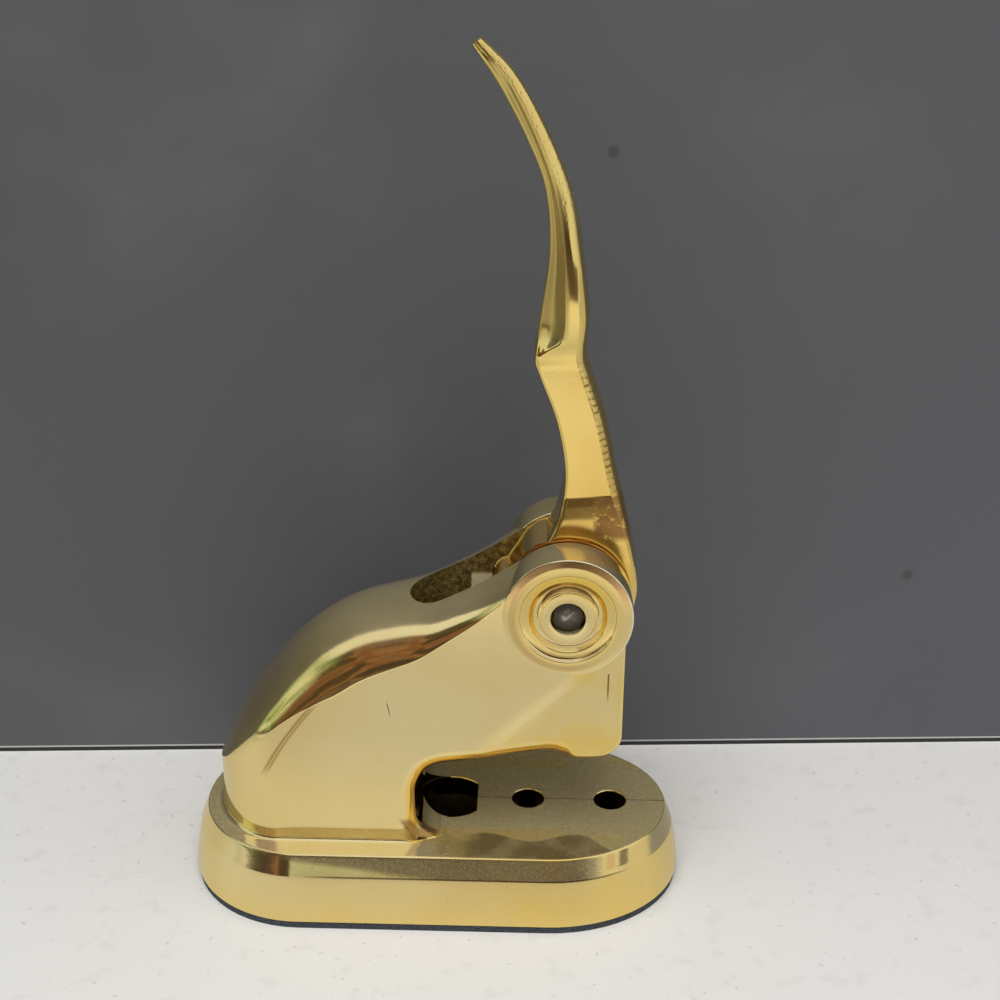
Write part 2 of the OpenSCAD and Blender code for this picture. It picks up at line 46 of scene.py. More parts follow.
# The stage: a pale table top that runs to a plain slate-grey wall, a bright overcast room, one broad soft
# lamp above, and the camera where the photographer stood.
CAMERA_AT = (27.365, -392.297, 299.889)
CAMERA_TURN, CAMERA_DIP, CAMERA_ROLL = -0.02377, 0.43197, -0.00766
LENS_PIXELS = 1600
WALL_LEFT, WALL_RIGHT = (-1500.0, -23.9), (1500.0, 142.3)
WALL_EDGE, WALL_FOOT, WALL_TOP = 1.8, 2.4, 900
TABLE_COLOUR, TABLE_SOIL = (0.83, 0.82, 0.80, 1), (0.36, 0.35, 0.33, 1)
WALL_COLOUR, WALL_SMUDGE = (0.077, 0.080, 0.084, 1), (0.120, 0.120, 0.122, 1)
WALL_BLUE, WALL_FLECK = (0.112, 0.115, 0.142, 1), (0.03, 0.03, 0.035, 1)
EDGE_COLOUR, GAP_SHADE_COLOUR = (0.5, 0.5, 0.49, 1), (0.03, 0.03, 0.035, 1)


def add_object(name, data):
    """A new object in the scene."""
    made = bpy.data.objects.new(name, data)
    bpy.context.scene.collection.objects.link(made)
    return made


def look_axes(turn, dip, roll):
    """Right, down and forward of a camera turned about Z, then dipped, then rolled about its view line."""
    ahead = np.array([math.sin(turn) * math.cos(dip), math.cos(turn) * math.cos(dip), -math.sin(dip)])
    right = np.array([math.cos(turn), -math.sin(turn), 0.0])
    down = np.cross(ahead, right)
    return (math.cos(roll) * right + math.sin(roll) * down,
            -math.sin(roll) * right + math.cos(roll) * down, ahead)


lens = bpy.data.cameras.new("camera")
lens.sensor_width = 36
lens.lens = 36 * LENS_PIXELS / 1000
lens.clip_start = 0.01
camera = add_object("camera", lens)
right, down, ahead = look_axes(CAMERA_TURN, CAMERA_DIP, CAMERA_ROLL)
turn = Matrix((right, -down, -ahead)).transposed().to_4x4()
camera.matrix_world = Matrix.Translation(Vector(CAMERA_AT) * MM) @ turn
bpy.context.scene.camera = camera
bpy.context.scene.view_settings.view_transform = "Standard"


def joined(operation):
    """A method that joins a wire to another value by one operation of shader maths."""
    return lambda self, other=None: self.maths(operation, self, other)


class Wire:
    """An output socket of a node tree, so that shader maths can be written as an expression."""

    __add__ = __radd__ = joined("ADD")
    __mul__ = __rmul__ = joined("MULTIPLY")
    __sub__, __truediv__, __abs__ = joined("SUBTRACT"), joined("DIVIDE"), joined("ABSOLUTE")
    __gt__, __lt__ = joined("GREATER_THAN"), joined("LESS_THAN")
    power, most, least = joined("POWER"), joined("MAXIMUM"), joined("MINIMUM")

    def __init__(self, tree, socket):
        self.tree, self.socket = tree, socket

    def __rsub__(self, other):
        return self.maths("SUBTRACT", other, self)

    def maths(self, operation, first, second=None):
        node = self.tree.nodes.new("ShaderNodeMath")
        node.operation = operation
        for place, value in enumerate((first, second)):
            if isinstance(value, Wire):
                self.tree.links.new(value.socket, node.inputs[place])
            elif value is not None:
                node.inputs[place].default_value = value
        return Wire(self.tree, node.outputs[0])

    def ramp(self, low, high):
        """0 where the value is at low, 1 where it is at high, smooth between."""
        return Paint(self.tree).node("MapRange", {"interpolation_type": "SMOOTHSTEP"},
                                     {"Value": self, "From Min": low, "From Max": high})

    def between(self, start, rise, fall, stop):
        """1 from rise to fall, fading out smoothly to start and stop."""
        return self.ramp(start, rise) * (1 - self.ramp(fall, stop))


class Paint:
    """The node tree of a finish or of the world, with one method that can add any node."""

    def __init__(self, tree):
        self.tree = tree

    def node(self, kind, settings, sockets, output=0):
        made = self.tree.nodes.new("ShaderNode" + kind)
        for key, value in settings.items():
            setattr(made, key, value)
        for key, value in sockets.items():
            if isinstance(value, Wire):
                self.tree.links.new(value.socket, made.inputs[key])
            else:
                made.inputs[key].default_value = value
        return Wire(self.tree, made.outputs[output])

    def split(self, vector):
        """The x, y and z of a vector."""
        return [self.node("SeparateXYZ", {}, {0: vector}, i) for i in range(3)]

    def mix(self, share, first, second):
        """A colour between two colours."""
        return self.node("Mix", {"data_type": "RGBA"}, {0: share, 6: first, 7: second}, 2)


def new_finish(name):
    """An empty material and its node tree, with the output left to join."""
    made = bpy.data.materials.new(name)
    made.use_nodes = True
    made.node_tree.nodes.clear()
    return made, Paint(made.node_tree)


def join_shader(work, shader):
    """Joins a shader to the material's output."""
    out = work.tree.nodes.new("ShaderNodeOutputMaterial")
    work.tree.links.new(shader.socket, out.inputs["Surface"])


def join_surface(work, sockets):
    """Joins one principled surface, given by its sockets, to the material's output."""
    join_shader(work, work.node("BsdfPrincipled", {}, sockets))


def place_on(work, unit=MM):
    """The place on the piece, as x, y and z in a unit."""
    return [part / unit for part in work.split(work.node("TexCoord", {}, {}, 3))]


def noise(work, scale, detail):
    """Cloudy noise over the piece, with so many clouds to a metre."""
    place = work.node("TexCoord", {}, {}, 3)
    return work.node("TexNoise", {}, {"Vector": place, "Scale": float(scale), "Detail": float(detail)})


def dots(work, scale):
    """The distance to the nearest of many strewn points, so many to a metre, with 1 as their spacing."""
    place = work.node("TexCoord", {}, {}, 3)
    return work.node("TexVoronoi", {}, {"Vector": place, "Scale": float(scale)})


def painted(work, colour, coats):
    """A colour with coats of (share, colour) laid over it, one after another."""
    for share, tint in coats:
        colour = work.mix(share, colour, tint)
    return colour


def flat_sheet(name, corners):
    """One rectangle, given by its corners in millimetres."""
    mesh = bpy.data.meshes.new(name)
    mesh.from_pydata([Vector(c) * MM for c in corners], [], [(0, 1, 2, 3)])
    return add_object(name, mesh)


def upright_sheet(name, left, right, low, high):
    """A rectangle that stands over a line on the table, between two heights."""
    return flat_sheet(name, [left + (low,), right + (low,), right + (high,), left + (high,)])


# The table top has fine scuffs and specks. Metal mirrors it as bands of other tones towards the photographer,
# and beyond its front edge as a dark room.
table = flat_sheet("table", [(-2500, -2500, 0), (2500, -2500, 0), (2500, 2500, 0), (-2500, 2500, 0)])
table_paint, work = new_finish("table_paint")
depth = place_on(work, 1)[1]
mirrored = work.node("LightPath", {}, {}, 3)
scuff = noise(work, 130, 6)
marks = noise(work, 420, 2)
soiled = (1 - scuff.ramp(0.30, 0.44)) * 0.10 + (1 - marks.ramp(0.26, 0.33)) * 0.35
top = work.mix(soiled, TABLE_COLOUR, TABLE_SOIL)
MIRRORED_FAR, MIRRORED_MIDDLE = (0.90, 0.85, 0.73, 1), (0.58, 0.56, 0.50, 1)
MIRRORED_NEAR, DARK_ROOM, TABLE_FRONT = (0.71, 0.67, 0.56, 1), (0.075, 0.045, 0.028, 1), -0.47
glint = painted(work, MIRRORED_FAR, [
    (depth.ramp(-0.27, -0.18), MIRRORED_MIDDLE), (depth.ramp(-0.13, -0.07), MIRRORED_NEAR),
    (depth < TABLE_FRONT, DARK_ROOM)])
top = work.mix(mirrored, top, glint)
join_surface(work, {"Base Color": top, "Roughness": 0.38 + 0.2 * scuff})
table.data.materials.append(table_paint)

# The wall is a painted board whose pale lower edge stands over a gap, whose shade is painted as a near-black
# sheet a little behind the board. It is clear from behind, so that the other views can look through it.
wall = upright_sheet("wall", WALL_LEFT, WALL_RIGHT, WALL_FOOT, WALL_TOP)
wall_edge = upright_sheet("wall_edge", WALL_LEFT, WALL_RIGHT, WALL_EDGE, WALL_FOOT)
behind_left, behind_right = ((x, y + 0.5) for x, y in (WALL_LEFT, WALL_RIGHT))
# A near-black sheet in the gap under the board: painted shade.
wall_gap_shade = upright_sheet("wall_gap_shade", behind_left, behind_right, 0, 2)
for sheet, colour in ((wall_edge, EDGE_COLOUR), (wall_gap_shade, GAP_SHADE_COLOUR)):
    edge_paint, work = new_finish(sheet.name)
    join_surface(work, {"Base Color": colour, "Roughness": 0.7})
    sheet.data.materials.append(edge_paint)
wall_paint, work = new_finish("wall_paint")
across, _, up = place_on(work, 1)
cloud = noise(work, 9, 4)
fleck = dots(work, 24)
low_right = across.ramp(-0.25, 0.25) * 0.5 + up.ramp(0.20, 0.0) * 0.5
tone = painted(work, WALL_COLOUR, [
    (cloud.ramp(0.4, 0.75), WALL_SMUDGE), (low_right * 0.6, WALL_BLUE),
    ((1 - fleck.ramp(0.03, 0.055)) * 0.5, WALL_FLECK)])
front_face = work.node("BsdfPrincipled", {}, {"Base Color": tone, "Roughness": 0.6})
behind = work.node("NewGeometry", {}, {}, 6)
clear = work.node("BsdfTransparent", {}, {})
join_shader(work, work.node("MixShader", {}, {0: behind, 1: front_face, 2: clear}))
wall.data.materials.append(wall_paint)

# The room that lights the object is plain and pale. What metal mirrors of it is a pale ceiling over a band of
# dark brown shelves, with leaves at the left, a strip of daylight in the middle and a pale right side.
ROOM_LOW, ROOM_HIGH = (0.42, 0.41, 0.39, 1), (1.0, 0.99, 0.96, 1)
SHELF_DARK, SHELF_BROWN, SHELF_EDGE = (0.07, 0.05, 0.032, 1), (0.20, 0.10, 0.05, 1), (0.45, 0.24, 0.12, 1)
LEAF_DARK, LEAF_PALE, DAYLIGHT = (0.16, 0.30, 0.07, 1), (0.75, 0.8, 0.6, 1), (0.62, 0.66, 0.50, 1)
PALE_SIDE, CEILING = (0.86, 0.84, 0.74, 1), (0.86, 0.87, 0.78, 1)
world = bpy.data.worlds.new("room")
bpy.context.scene.world = world
world.use_nodes = True
world.node_tree.nodes.clear()
work = Paint(world.node_tree)
heading = work.node("TexCoord", {}, {}, 0)
east, north, height = work.split(heading)
mirrored = work.node("LightPath", {}, {}, 3)
open_room = work.mix(height.ramp(0.02, 0.5), ROOM_LOW, ROOM_HIGH)
clutter = work.node("TexNoise", {}, {"Vector": heading, "Scale": 5.0, "Detail": 3.0})
leaves = work.mix(clutter.ramp(0.45, 0.6), LEAF_DARK, LEAF_PALE)
ceiling = north.ramp(-0.35, -0.27).most(height.ramp(0.80, 0.86)).most(east.ramp(-0.38, -0.25))
seen = painted(work, SHELF_DARK, [
    (clutter.ramp(0.42, 0.6) * height.ramp(0.05, 0.20), SHELF_BROWN),
    (clutter.between(0.52, 0.53, 0.55, 0.56), SHELF_EDGE),
    (east.between(-0.27, -0.22, -0.10, -0.03) * (1 - height.ramp(0.08, 0.13)), DAYLIGHT),
    ((1 - east.ramp(-0.80, -0.70)) * height.ramp(0.0, 0.06), leaves),
    (east.ramp(0.47, 0.60), PALE_SIDE),
    (height.ramp(0.50, 0.60) * ceiling, CEILING),
    (north.ramp(-0.15, 0.15), open_room)])
room = work.mix(mirrored, open_room, seen)
glow = work.node("Background", {}, {"Color": room, "Strength": 0.9})
out = world.node_tree.nodes.new("ShaderNodeOutputWorld")
world.node_tree.links.new(glow.socket, out.inputs["Surface"])

# One broad soft lamp above, in front and a little to the left. Metal doesn't mirror it.
lamp_data = bpy.data.lights.new("soft_lamp", "AREA")
lamp_data.shape = "RECTANGLE"
lamp_data.size, lamp_data.size_y = 0.9, 0.6
lamp_data.energy = 8
lamp = add_object("soft_lamp", lamp_data)
lamp.visible_glossy = False
lamp.location = (-0.05, -0.55, 1.20)
lamp.rotation_euler = (Vector((0, 0, 0.08)) - lamp.location).to_track_quat("-Z", "Y").to_euler()

# The base of the frame casting: gold-plated iron, cast hollow and open below, with a leaning side, a polished
# shoulder and a flat top that carries the window and the two screw holes.
BASE_HALF, BASE_SIDE = 71.5, 33.75
FRONT_END, REAR_END = 39.0, 34.0
PAD_TOP, CREASE_Z, BASE_TOP = 2.0, 16.3, 22.4
SIDE_LEAN, SHOULDER_IN = 1.9, 2.25
BASE_WALL, TOP_WALL = 6.0, 6.0
HOLE_R, HOLE_X = 4.66, (26.95, 51.05)
WINDOW_X, WINDOW_R, WINDOW_FRONT, WINDOW_STEPS = 4.5, 10.0, 12.0, 49
EDGE_ANGLE = 28
COLUMN_HALF, SIDE_DRAFT = 22.6, 0.032


def grid_faces(rows, columns, wrap_rows, wrap_columns):
    """Quads between the points of a grid, closed round either way where asked."""
    i = np.arange(rows if wrap_rows else rows - 1)[:, None]
    j = np.arange(columns if wrap_columns else columns - 1)[None, :]
    up, along = (i + 1) % rows, (j + 1) % columns
    quads = np.stack([i * columns + j, up * columns + j, up * columns + along, i * columns + along], -1)
    return quads.reshape(-1, 4)


def capped_faces(rows, columns):
    """The quads of a tube of closed rows, with one flat face over each end."""
    ends = [np.arange(columns), np.arange(columns)[::-1] + (rows - 1) * columns]
    return list(grid_faces(rows, columns, False, True)) + ends


def make_piece(name, points, faces, crisp=35, sweep=None):
    """A mesh object from points in millimetres and faces: doubles merged, normals outward, edges sharper than
    the given angle kept crisp. Each point's place in a sweep, if given, goes into a layer for the finish."""
    mesh = bpy.data.meshes.new(name)
    mesh.from_pydata((np.asarray(points, float) * MM).tolist(), [], [list(map(int, f)) for f in faces])
    if sweep is not None:
        corners = np.empty(len(mesh.loops), int)
        mesh.loops.foreach_get("vertex_index", corners)
        mesh.uv_layers.new(name="sweep").data.foreach_set("uv", sweep[corners].ravel())
    tidy_mesh(mesh, crisp)
    return add_object(name, mesh)


def tidy_mesh(mesh, crisp):
    """Merges doubled points, turns all faces outwards and marks the edges sharper than an angle."""
    work = bmesh.new()
    work.from_mesh(mesh)
    bmesh.ops.remove_doubles(work, verts=work.verts, dist=2e-6)
    bmesh.ops.dissolve_degenerate(work, edges=work.edges, dist=1e-7)
    bmesh.ops.recalc_face_normals(work, faces=work.faces)
    work.to_mesh(mesh)
    work.free()
    mesh.shade_smooth()
    mesh.set_sharp_from_angle(angle=math.radians(crisp))


def cut_away(piece, cutter, crisp=35):
    """Takes one closed mesh away from another and removes the cutter."""
    cut = piece.modifiers.new("cut", "BOOLEAN")
    cut.operation, cut.solver, cut.object = "DIFFERENCE", "EXACT", cutter
    shown = piece.evaluated_get(bpy.context.evaluated_depsgraph_get())
    mesh = bpy.data.meshes.new_from_object(shown)
    piece.modifiers.clear()
    piece.data = mesh
    bpy.data.objects.remove(cutter)
    mesh.shade_smooth()
    mesh.set_sharp_from_angle(angle=math.radians(crisp))


def even_normals(piece):
    """Weights each point's normal by the size of the faces round it, so that flat faces shade flat."""
    weigh = piece.modifiers.new("even", "WEIGHTED_NORMAL")
    weigh.keep_sharp = True
    weigh.weight = 50
    shown = piece.evaluated_get(bpy.context.evaluated_depsgraph_get())
    piece.data = bpy.data.meshes.new_from_object(shown)
    piece.modifiers.clear()


def bend(centre, radius, start, stop, steps):
    """Points of an arc in a plane, between two angles in degrees."""
    a = np.radians(np.linspace(start, stop, steps))
    return np.stack([centre[0] + radius * np.cos(a), centre[1] + radius * np.sin(a)], -1)


def base_outline(inset):
    """The base's plan, moved in all round: half an ellipse at each end, joined by straight sides. The inset
    goes along the ellipse's own normal. Takes a column of insets and gives one closed row for each."""
    inset = np.asarray(inset, float)[:, None]
    rows = []
    ends = ((BASE_HALF - FRONT_END, FRONT_END, -90), (REAR_END - BASE_HALF, REAR_END, 90))
    for middle, half, start in ends:
        a = np.radians(np.linspace(start, start + 180, 73))[None, :]
        nx, ny = np.cos(a) / half, np.sin(a) / BASE_SIDE
        size = np.hypot(nx, ny)
        rows.append(np.stack([middle + half * np.cos(a) - inset * nx / size,
                              BASE_SIDE * np.sin(a) - inset * ny / size], -1))
    return np.concatenate(rows, 1)


def swept_base(profile):
    """Carries a profile of (inset, height) round the base's plan and closes both ends with flat faces."""
    profile = np.asarray(profile, float)
    plan = base_outline(profile[:, 0])
    heights = np.broadcast_to(profile[:, 1][:, None, None], plan.shape[:2] + (1,))
    points = np.concatenate([plan, heights], -1)
    return points.reshape(-1, 3), capped_faces(*points.shape[:2])


rise = np.linspace(0, 1, 14)
side = np.stack([SIDE_LEAN * rise ** 1.4, PAD_TOP + 0.8 + (CREASE_Z - PAD_TOP - 1.2) * rise], -1)
hollow_top = BASE_TOP - TOP_WALL
base_profile = np.concatenate([
    [(BASE_WALL + 1, hollow_top), (BASE_WALL + 0.3, hollow_top - 0.3), (BASE_WALL, hollow_top - 1)],
    [(BASE_WALL, PAD_TOP), (0.7, PAD_TOP)],
    bend((0.7, PAD_TOP + 0.7), 0.7, 255, 195, 4),
    side,
    [(SIDE_LEAN + 0.12, CREASE_Z + 0.05), (SIDE_LEAN + 0.2, CREASE_Z + 0.2)],
    [(SIDE_LEAN + 1.15, CREASE_Z + 2.65), (SIDE_LEAN + 2.1, CREASE_Z + 5.1)],
    bend((SIDE_LEAN + SHOULDER_IN + 0.8, BASE_TOP - 0.8), 0.8, 159, 90, 8),
    [(SIDE_LEAN + SHOULDER_IN + 1.3, BASE_TOP)]])
points, faces = swept_base(base_profile)
frame_base = make_piece("frame_base", points, faces, EDGE_ANGLE)


def upright_solid(name, rows):
    """A closed solid from rows of (plan, height)."""
    points = [np.column_stack([plan, np.full(len(plan), z)]) for plan, z in rows]
    return make_piece(name, np.concatenate(points), capped_faces(len(rows), len(rows[0][0])))


def round_cutter(name, x, levels):
    """A turned solid with an upright axis in the middle plane, from (radius, height) levels."""
    return upright_solid(name, [(bend((x, 0.0), radius, 0, 360, 65)[:-1], z) for radius, z in levels])


def window_plan(grow):
    """The window's plan: most of a circle with a straight front, moved out by a distance."""
    reach = WINDOW_FRONT + grow - WINDOW_X
    radius = WINDOW_R + grow
    open_angle = math.degrees(math.acos(min(1.0, reach / radius)))
    return bend((WINDOW_X, 0.0), radius, open_angle, 360 - open_angle, WINDOW_STEPS)


def window_cutter(name, levels):
    """The window's plan carried upwards through (growth, height) levels."""
    return upright_solid(name, [(window_plan(grow), z) for grow, z in levels])


lip = [(0.5 * (1 - math.sqrt(max(0.0, 1 - s * s))), BASE_TOP - 0.5 + 0.5 * s) for s in (0.4, 0.7, 0.9, 1.0)]
levels = [(0, 10), (0, BASE_TOP - 0.5)] + lip + [(0.9, BASE_TOP + 0.4)]
for x in HOLE_X:
    cut_away(frame_base, round_cutter("hole", x, [(HOLE_R + grow, z) for grow, z in levels]), EDGE_ANGLE)
cut_away(frame_base, window_cutter("window", levels), EDGE_ANGLE)
even_normals(frame_base)

# The gold finish of the castings: plating over a polished but slightly wavy casting, with small pits and dust
# on what faces up. Every mark is painted over it.
GOLD_PALE, GOLD_DEEP = (0.96, 0.82, 0.47, 1), (0.90, 0.72, 0.34, 1)
GRIME, DUST = (0.22, 0.15, 0.06, 1), (0.50, 0.45, 0.34, 1)
# The last of these slot colours is for a pale patch and a small painted highlight.
SLOT_DARK, SLOT_TAN, SLOT_FLECK, SLOT_PALE_AND_HIGHLIGHT = ((0.18, 0.11, 0.03, 1), (0.62, 0.44, 0.13, 1),
                                              (0.98, 0.86, 0.50, 1), (0.66, 0.54, 0.33, 1))
SPECKLE_DARK, SPECKLE_PALE, LINE_DARK = (0.20, 0.18, 0.12, 1), (0.60, 0.55, 0.38, 1), (0.10, 0.065, 0.02, 1)


def gold_finish(name, marks, pale, deep, waves=1.0, pits=0.35, rough=0.075):
    """Gold that drifts between a pale and a deep tone, with the marks of one group of pieces painted on."""
    made, work = new_finish(name)
    upward = work.split(work.node("TexCoord", {}, {}, 1))[2]
    cloud, swell = noise(work, 22, 3), noise(work, 55, 1)
    grit, crumbs = noise(work, 900, 2), noise(work, 700, 4)
    speck = 1 - dots(work, 420).ramp(0.05, 0.16)
    patchy = cloud.ramp(0.42, 0.7)
    grime = (speck * patchy * pits).least(0.8)
    dust = upward.ramp(0.55, 0.95) * (0.17 + 0.05 * crumbs.ramp(0.35, 0.75))
    colour = painted(work, work.mix(cloud.ramp(0.3, 0.7), pale, deep), [(grime, GRIME), (dust, DUST)])
    roughness = rough + 0.05 * patchy + 0.3 * grime + 0.04 * grit + 0.30 * dust
    coat = colour, roughness, grit + 2.0 * speck * patchy, 1 - 0.9 * dust
    colour, roughness, height, metal = marks(work, *coat)
    bump = work.node("Bump", {}, {"Strength": 0.2 * waves, "Distance": 0.0004, "Height": swell})
    bump = work.node("Bump", {}, {"Strength": 0.22, "Distance": 0.00003, "Height": height, "Normal": bump})
    join_surface(work, {"Base Color": colour, "Metallic": metal, "Roughness": roughness, "Normal": bump})
    return made


def line_mask(value, middle, half):
    """1 within a distance of a middle value, fading out over the same distance again."""
    return 1 - abs(value - middle).ramp(half, 2 * half)


def slot_marks(work, colour, roughness, height, metal):
    """The slot's inside: a rough stained casting with pale flecks, and at its front a pale patch and a small
    painted highlight.
    """
    x, y, z = place_on(work)
    lumps, fine = noise(work, 650, 6), noise(work, 1800, 3)
    ahead = (x - 2.8).least(0.0)
    inside = ((ahead * ahead + y * y).power(0.5) < 9.545) * (z > 50.0) * (z < 111.5) * (x < 48.2)
    far_half = y > 0
    # A small crescent of painted highlight at the slot's front, joined with a less metallic pale patch below
    # it.
    drop = z - 93.6 - 0.25 * (x - 18.6)
    highlight_distance = ((x - 18.6) * (x - 18.6) + drop * drop).power(0.5)
    pale_patch_and_highlight = x.between(9.6, 10.2, 15.5, 17.0) * (1 - z.ramp(91.2, 92.6)) * far_half
    pale_patch_and_highlight = (pale_patch_and_highlight + (1 - highlight_distance.ramp(1.0, 1.5)) * (z > 94.0 - 0.4 * lumps) * far_half).least(1.0)
    stain = work.mix(lumps.ramp(0.30, 0.75), SLOT_DARK, SLOT_TAN)
    flecks = fine.ramp(0.60, 0.68) * (1 - x.ramp(8.0, 20.0) * 0.5)
    stain = painted(work, stain, [(flecks, SLOT_FLECK), (pale_patch_and_highlight * 0.9, SLOT_PALE_AND_HIGHLIGHT)])
    metal = metal - inside * 0.25 - inside * pale_patch_and_highlight * 0.65
    return work.mix(inside, colour, stain), roughness + inside * 0.22, height + inside * lumps * 14.0, metal


NOSE_CREASE, CREASE_NORMAL = (36.1, 74.7), (0.69, 0.724)
LEAN_START, LEAN_RUN = 6.0, 16.0


def past_crease(x, z):
    """How far a place on the side lies past the nose's soft diagonal crease."""
    return (x - NOSE_CREASE[0]) * CREASE_NORMAL[0] - (z - NOSE_CREASE[1]) * CREASE_NORMAL[1]


def side_marks(work, colour, roughness, height, metal):
    """Warmer gold: blotched on the nose, along the throat's edge, low on the column and on the base's skirt.
    A painted highlight runs down the nose along its diagonal crease."""
    x, y, z = place_on(work)
    blotch = noise(work, 95, 4)
    past = past_crease(x, z)
    nose = past.ramp(-0.3, 1.2) * (abs(y) > 17.0) * x.ramp(8.0, 22.0) * (z < 90.0)
    # A pale line along the nose's diagonal crease: painted highlight.
    crease_highlight = line_mask(past - 2.5 * blotch, 0.4, 0.9) * (abs(y) > 17.0)
    crease_highlight = crease_highlight * x.ramp(14.0, 22.0) * (1 - z.ramp(70.0, 76.0))
    open_side = ((x - LEAN_START) / LEAN_RUN).most(0.0).least(1.0)
    lean = (past.most(0.0) * 0.05 + past.ramp(0.0, 2.4) * 0.8) * open_side
    flat = abs(y) + (z - BASE_TOP) * SIDE_DRAFT + lean
    rolled_off = (flat < COLUMN_HALF - 0.35) * (abs(y) > 15.5)
    over_throat = (z - 0.12 * x < 50.4) * (x > -4.6) * (x < 38.5)
    throat_edge = rolled_off * over_throat.most((z < 46.0) * (x > -9.0) * (x < 4.0))
    low = (1 - z.ramp(20.0, 50.0)) * (abs(y) < COLUMN_HALF + 0.1)
    skirt = (1 - z.ramp(2.0, 14.0)) * (abs(y) > 20.0)
    colour = painted(work, colour, [
        (nose * (0.25 + 0.65 * blotch.ramp(0.42, 0.66)), (0.95, 0.71, 0.22, 1)),
        (crease_highlight * 0.45, (1.0, 0.92, 0.62, 1)),
        (throat_edge * 0.75, (1.0, 0.68, 0.16, 1)),
        (low * 0.38, (0.95, 0.77, 0.32, 1)),
        (skirt * 0.6, (0.97, 0.76, 0.30, 1))])
    return colour, roughness + 0.10 * nose * blotch, height, metal


def base_marks(work, colour, roughness, height, metal):
    """The base's top is duller, with a painted dark reflection of the body's underside at the near edge and
    mottling beside the column. The crease has a dark line of painted shade, and the shoulder has a speckled
    wedge, a grey band of painted shade at its end and two small patches."""
    x, y, z = place_on(work)
    blotch, speckle = noise(work, 95, 4), noise(work, 2400, 4)
    film = (z > 22.3) * (z < 22.6)
    # A dark patch with a wavy edge at the top's near edge: a painted reflection of the body's underside.
    wavy = x.maths("SINE", (x - 34.0) * 0.25) * 1.8 - 19.2 - (x - 44.0).most(0.0) * 0.55
    underside_reflection = film * (wavy - y).ramp(-0.3, 0.7) * x.between(6.0, 14.0, 50.0, 54.0)
    mottle = film * (1 - (y + 0.5 * x).ramp(-17.5, -12.0)) * x.between(-8.0, 0.0, 14.0, 20.0)
    # A dark line along the crease between side and shoulder: painted shade.
    groove = line_mask(z, CREASE_Z + 0.15, 0.16) * (abs(y) > 14.0) * x.between(-40.0, -25.0, 48.0, 58.0)
    shoulder = (z > CREASE_Z + 0.3) * (z < BASE_TOP - 0.5) * ((abs(y) > 14.0).most(abs(x) > 62.0))
    wedge = shoulder * (x * 0.11 + z + 1.2 * blotch).ramp(16.2, 18.2) * (1 - x.ramp(45.0, 50.0)) * (y < 0)
    speckled = work.mix(speckle.ramp(0.3, 0.7), SPECKLE_DARK, SPECKLE_PALE)
    # A grey band at the shoulder's front end: painted shade.
    end_shade = shoulder * x.ramp(60.5, 63.0) * y.between(-21.0, -17.0, 4.0, 14.0)
    facet = shoulder * (y < 0) * z.ramp(17.6, 18.2)
    colour = painted(work, colour, [
        (mottle * blotch.ramp(0.40, 0.56) * 0.6, (0.62, 0.42, 0.10, 1)),
        (underside_reflection * (0.5 + 0.35 * blotch.ramp(0.42, 0.58)), (0.24, 0.16, 0.055, 1)),
        (film * 0.10, (0.75, 0.68, 0.48, 1)),
        (groove * 0.75, (0.10, 0.06, 0.03, 1)),
        (wedge * 0.7, speckled),
        (end_shade * 0.75, (0.30, 0.28, 0.24, 1)),
        (facet * line_mask(x + 2.0 * blotch, 51.4, 0.8) * 0.55, (0.80, 0.44, 0.16, 1)),
        (facet * line_mask(x + 3.0 * speckle, 55.7, 0.8) * 0.75, (0.14, 0.11, 0.07, 1))])
    return colour, roughness + wedge * 0.12, height * (1 - 0.75 * film), metal - film * 0.10


def frame_marks(work, *coat):
    """All marks of the frame. Over the slot, the sides and the base come brown painted shade at the column's
    foot, a thin brown stripe of painted reflection below the crest, the mould's parting line, a dark line of
    painted shade down the nose near its front, and a scratch."""
    for marks in (slot_marks, side_marks, base_marks):
        coat = marks(work, *coat)
    colour, roughness, height, metal = coat
    x, y, z = place_on(work)
    parting = line_mask(y + 0.5 * noise(work, 160, 2), 0.25, 0.11) * (x > 12.3) * (z > 22.1) * (z < 23)
    # A dark line down the nose near its front, with a slight dent: painted shade.
    nose_shade_line = line_mask(x, 48.15, 0.15) * z.ramp(67.0, 72.0) * (z < 77.0) * (y < 0)
    scratch = line_mask(x + 0.2 * z, 1.6, 0.10) * z.between(62.6, 64.5, 66.5, 68.0) * (y < 0)
    # A thin brown stripe with a lighter middle on the column's near side: a painted reflection.
    rise = z - 42.9
    bent = x + 46.9 - 0.455 * rise - 0.00837 * rise * rise
    streak_reflection = (1 - abs(bent).ramp(0.5, 1.3)) * z.between(42.0, 47.0, 63.0, 68.5) * (y < -15.0)
    streak_reflection = streak_reflection * (1 - 0.55 * line_mask(bent, 0.1, 0.18))
    # Brown low on the column's sides where its foot meets the base beside the throat: painted shade.
    foot_shade = line_mask(x + 0.6 * (z - 26.5), -5.8, 0.9) * z.between(23.0, 24.0, 28.5, 30.5)
    foot_shade = foot_shade.most(x.between(-4.6, -4.0, 0.5, 2.0) * z.between(22.62, 22.7, 25.0, 27.0)) * (abs(y) > 17.0)
    # The parting line and the scratch are real marks; the nose line among them is painted shade.
    lines = parting + nose_shade_line + scratch
    colour = painted(work, colour, [
        (foot_shade * 0.75, (0.26, 0.14, 0.06, 1)), (streak_reflection * 0.7, (0.40, 0.22, 0.05, 1)),
        (lines.least(1.0) * 0.8, LINE_DARK)])
    return colour, roughness, height - lines * 6.0, metal


def dress(piece, finish, body, node):
    """Gives a new piece its finish and says which body it rides and what it replaces."""
    piece.data.materials.clear()
    piece.data.materials.append(finish)
    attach(piece, body)
    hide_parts(node)


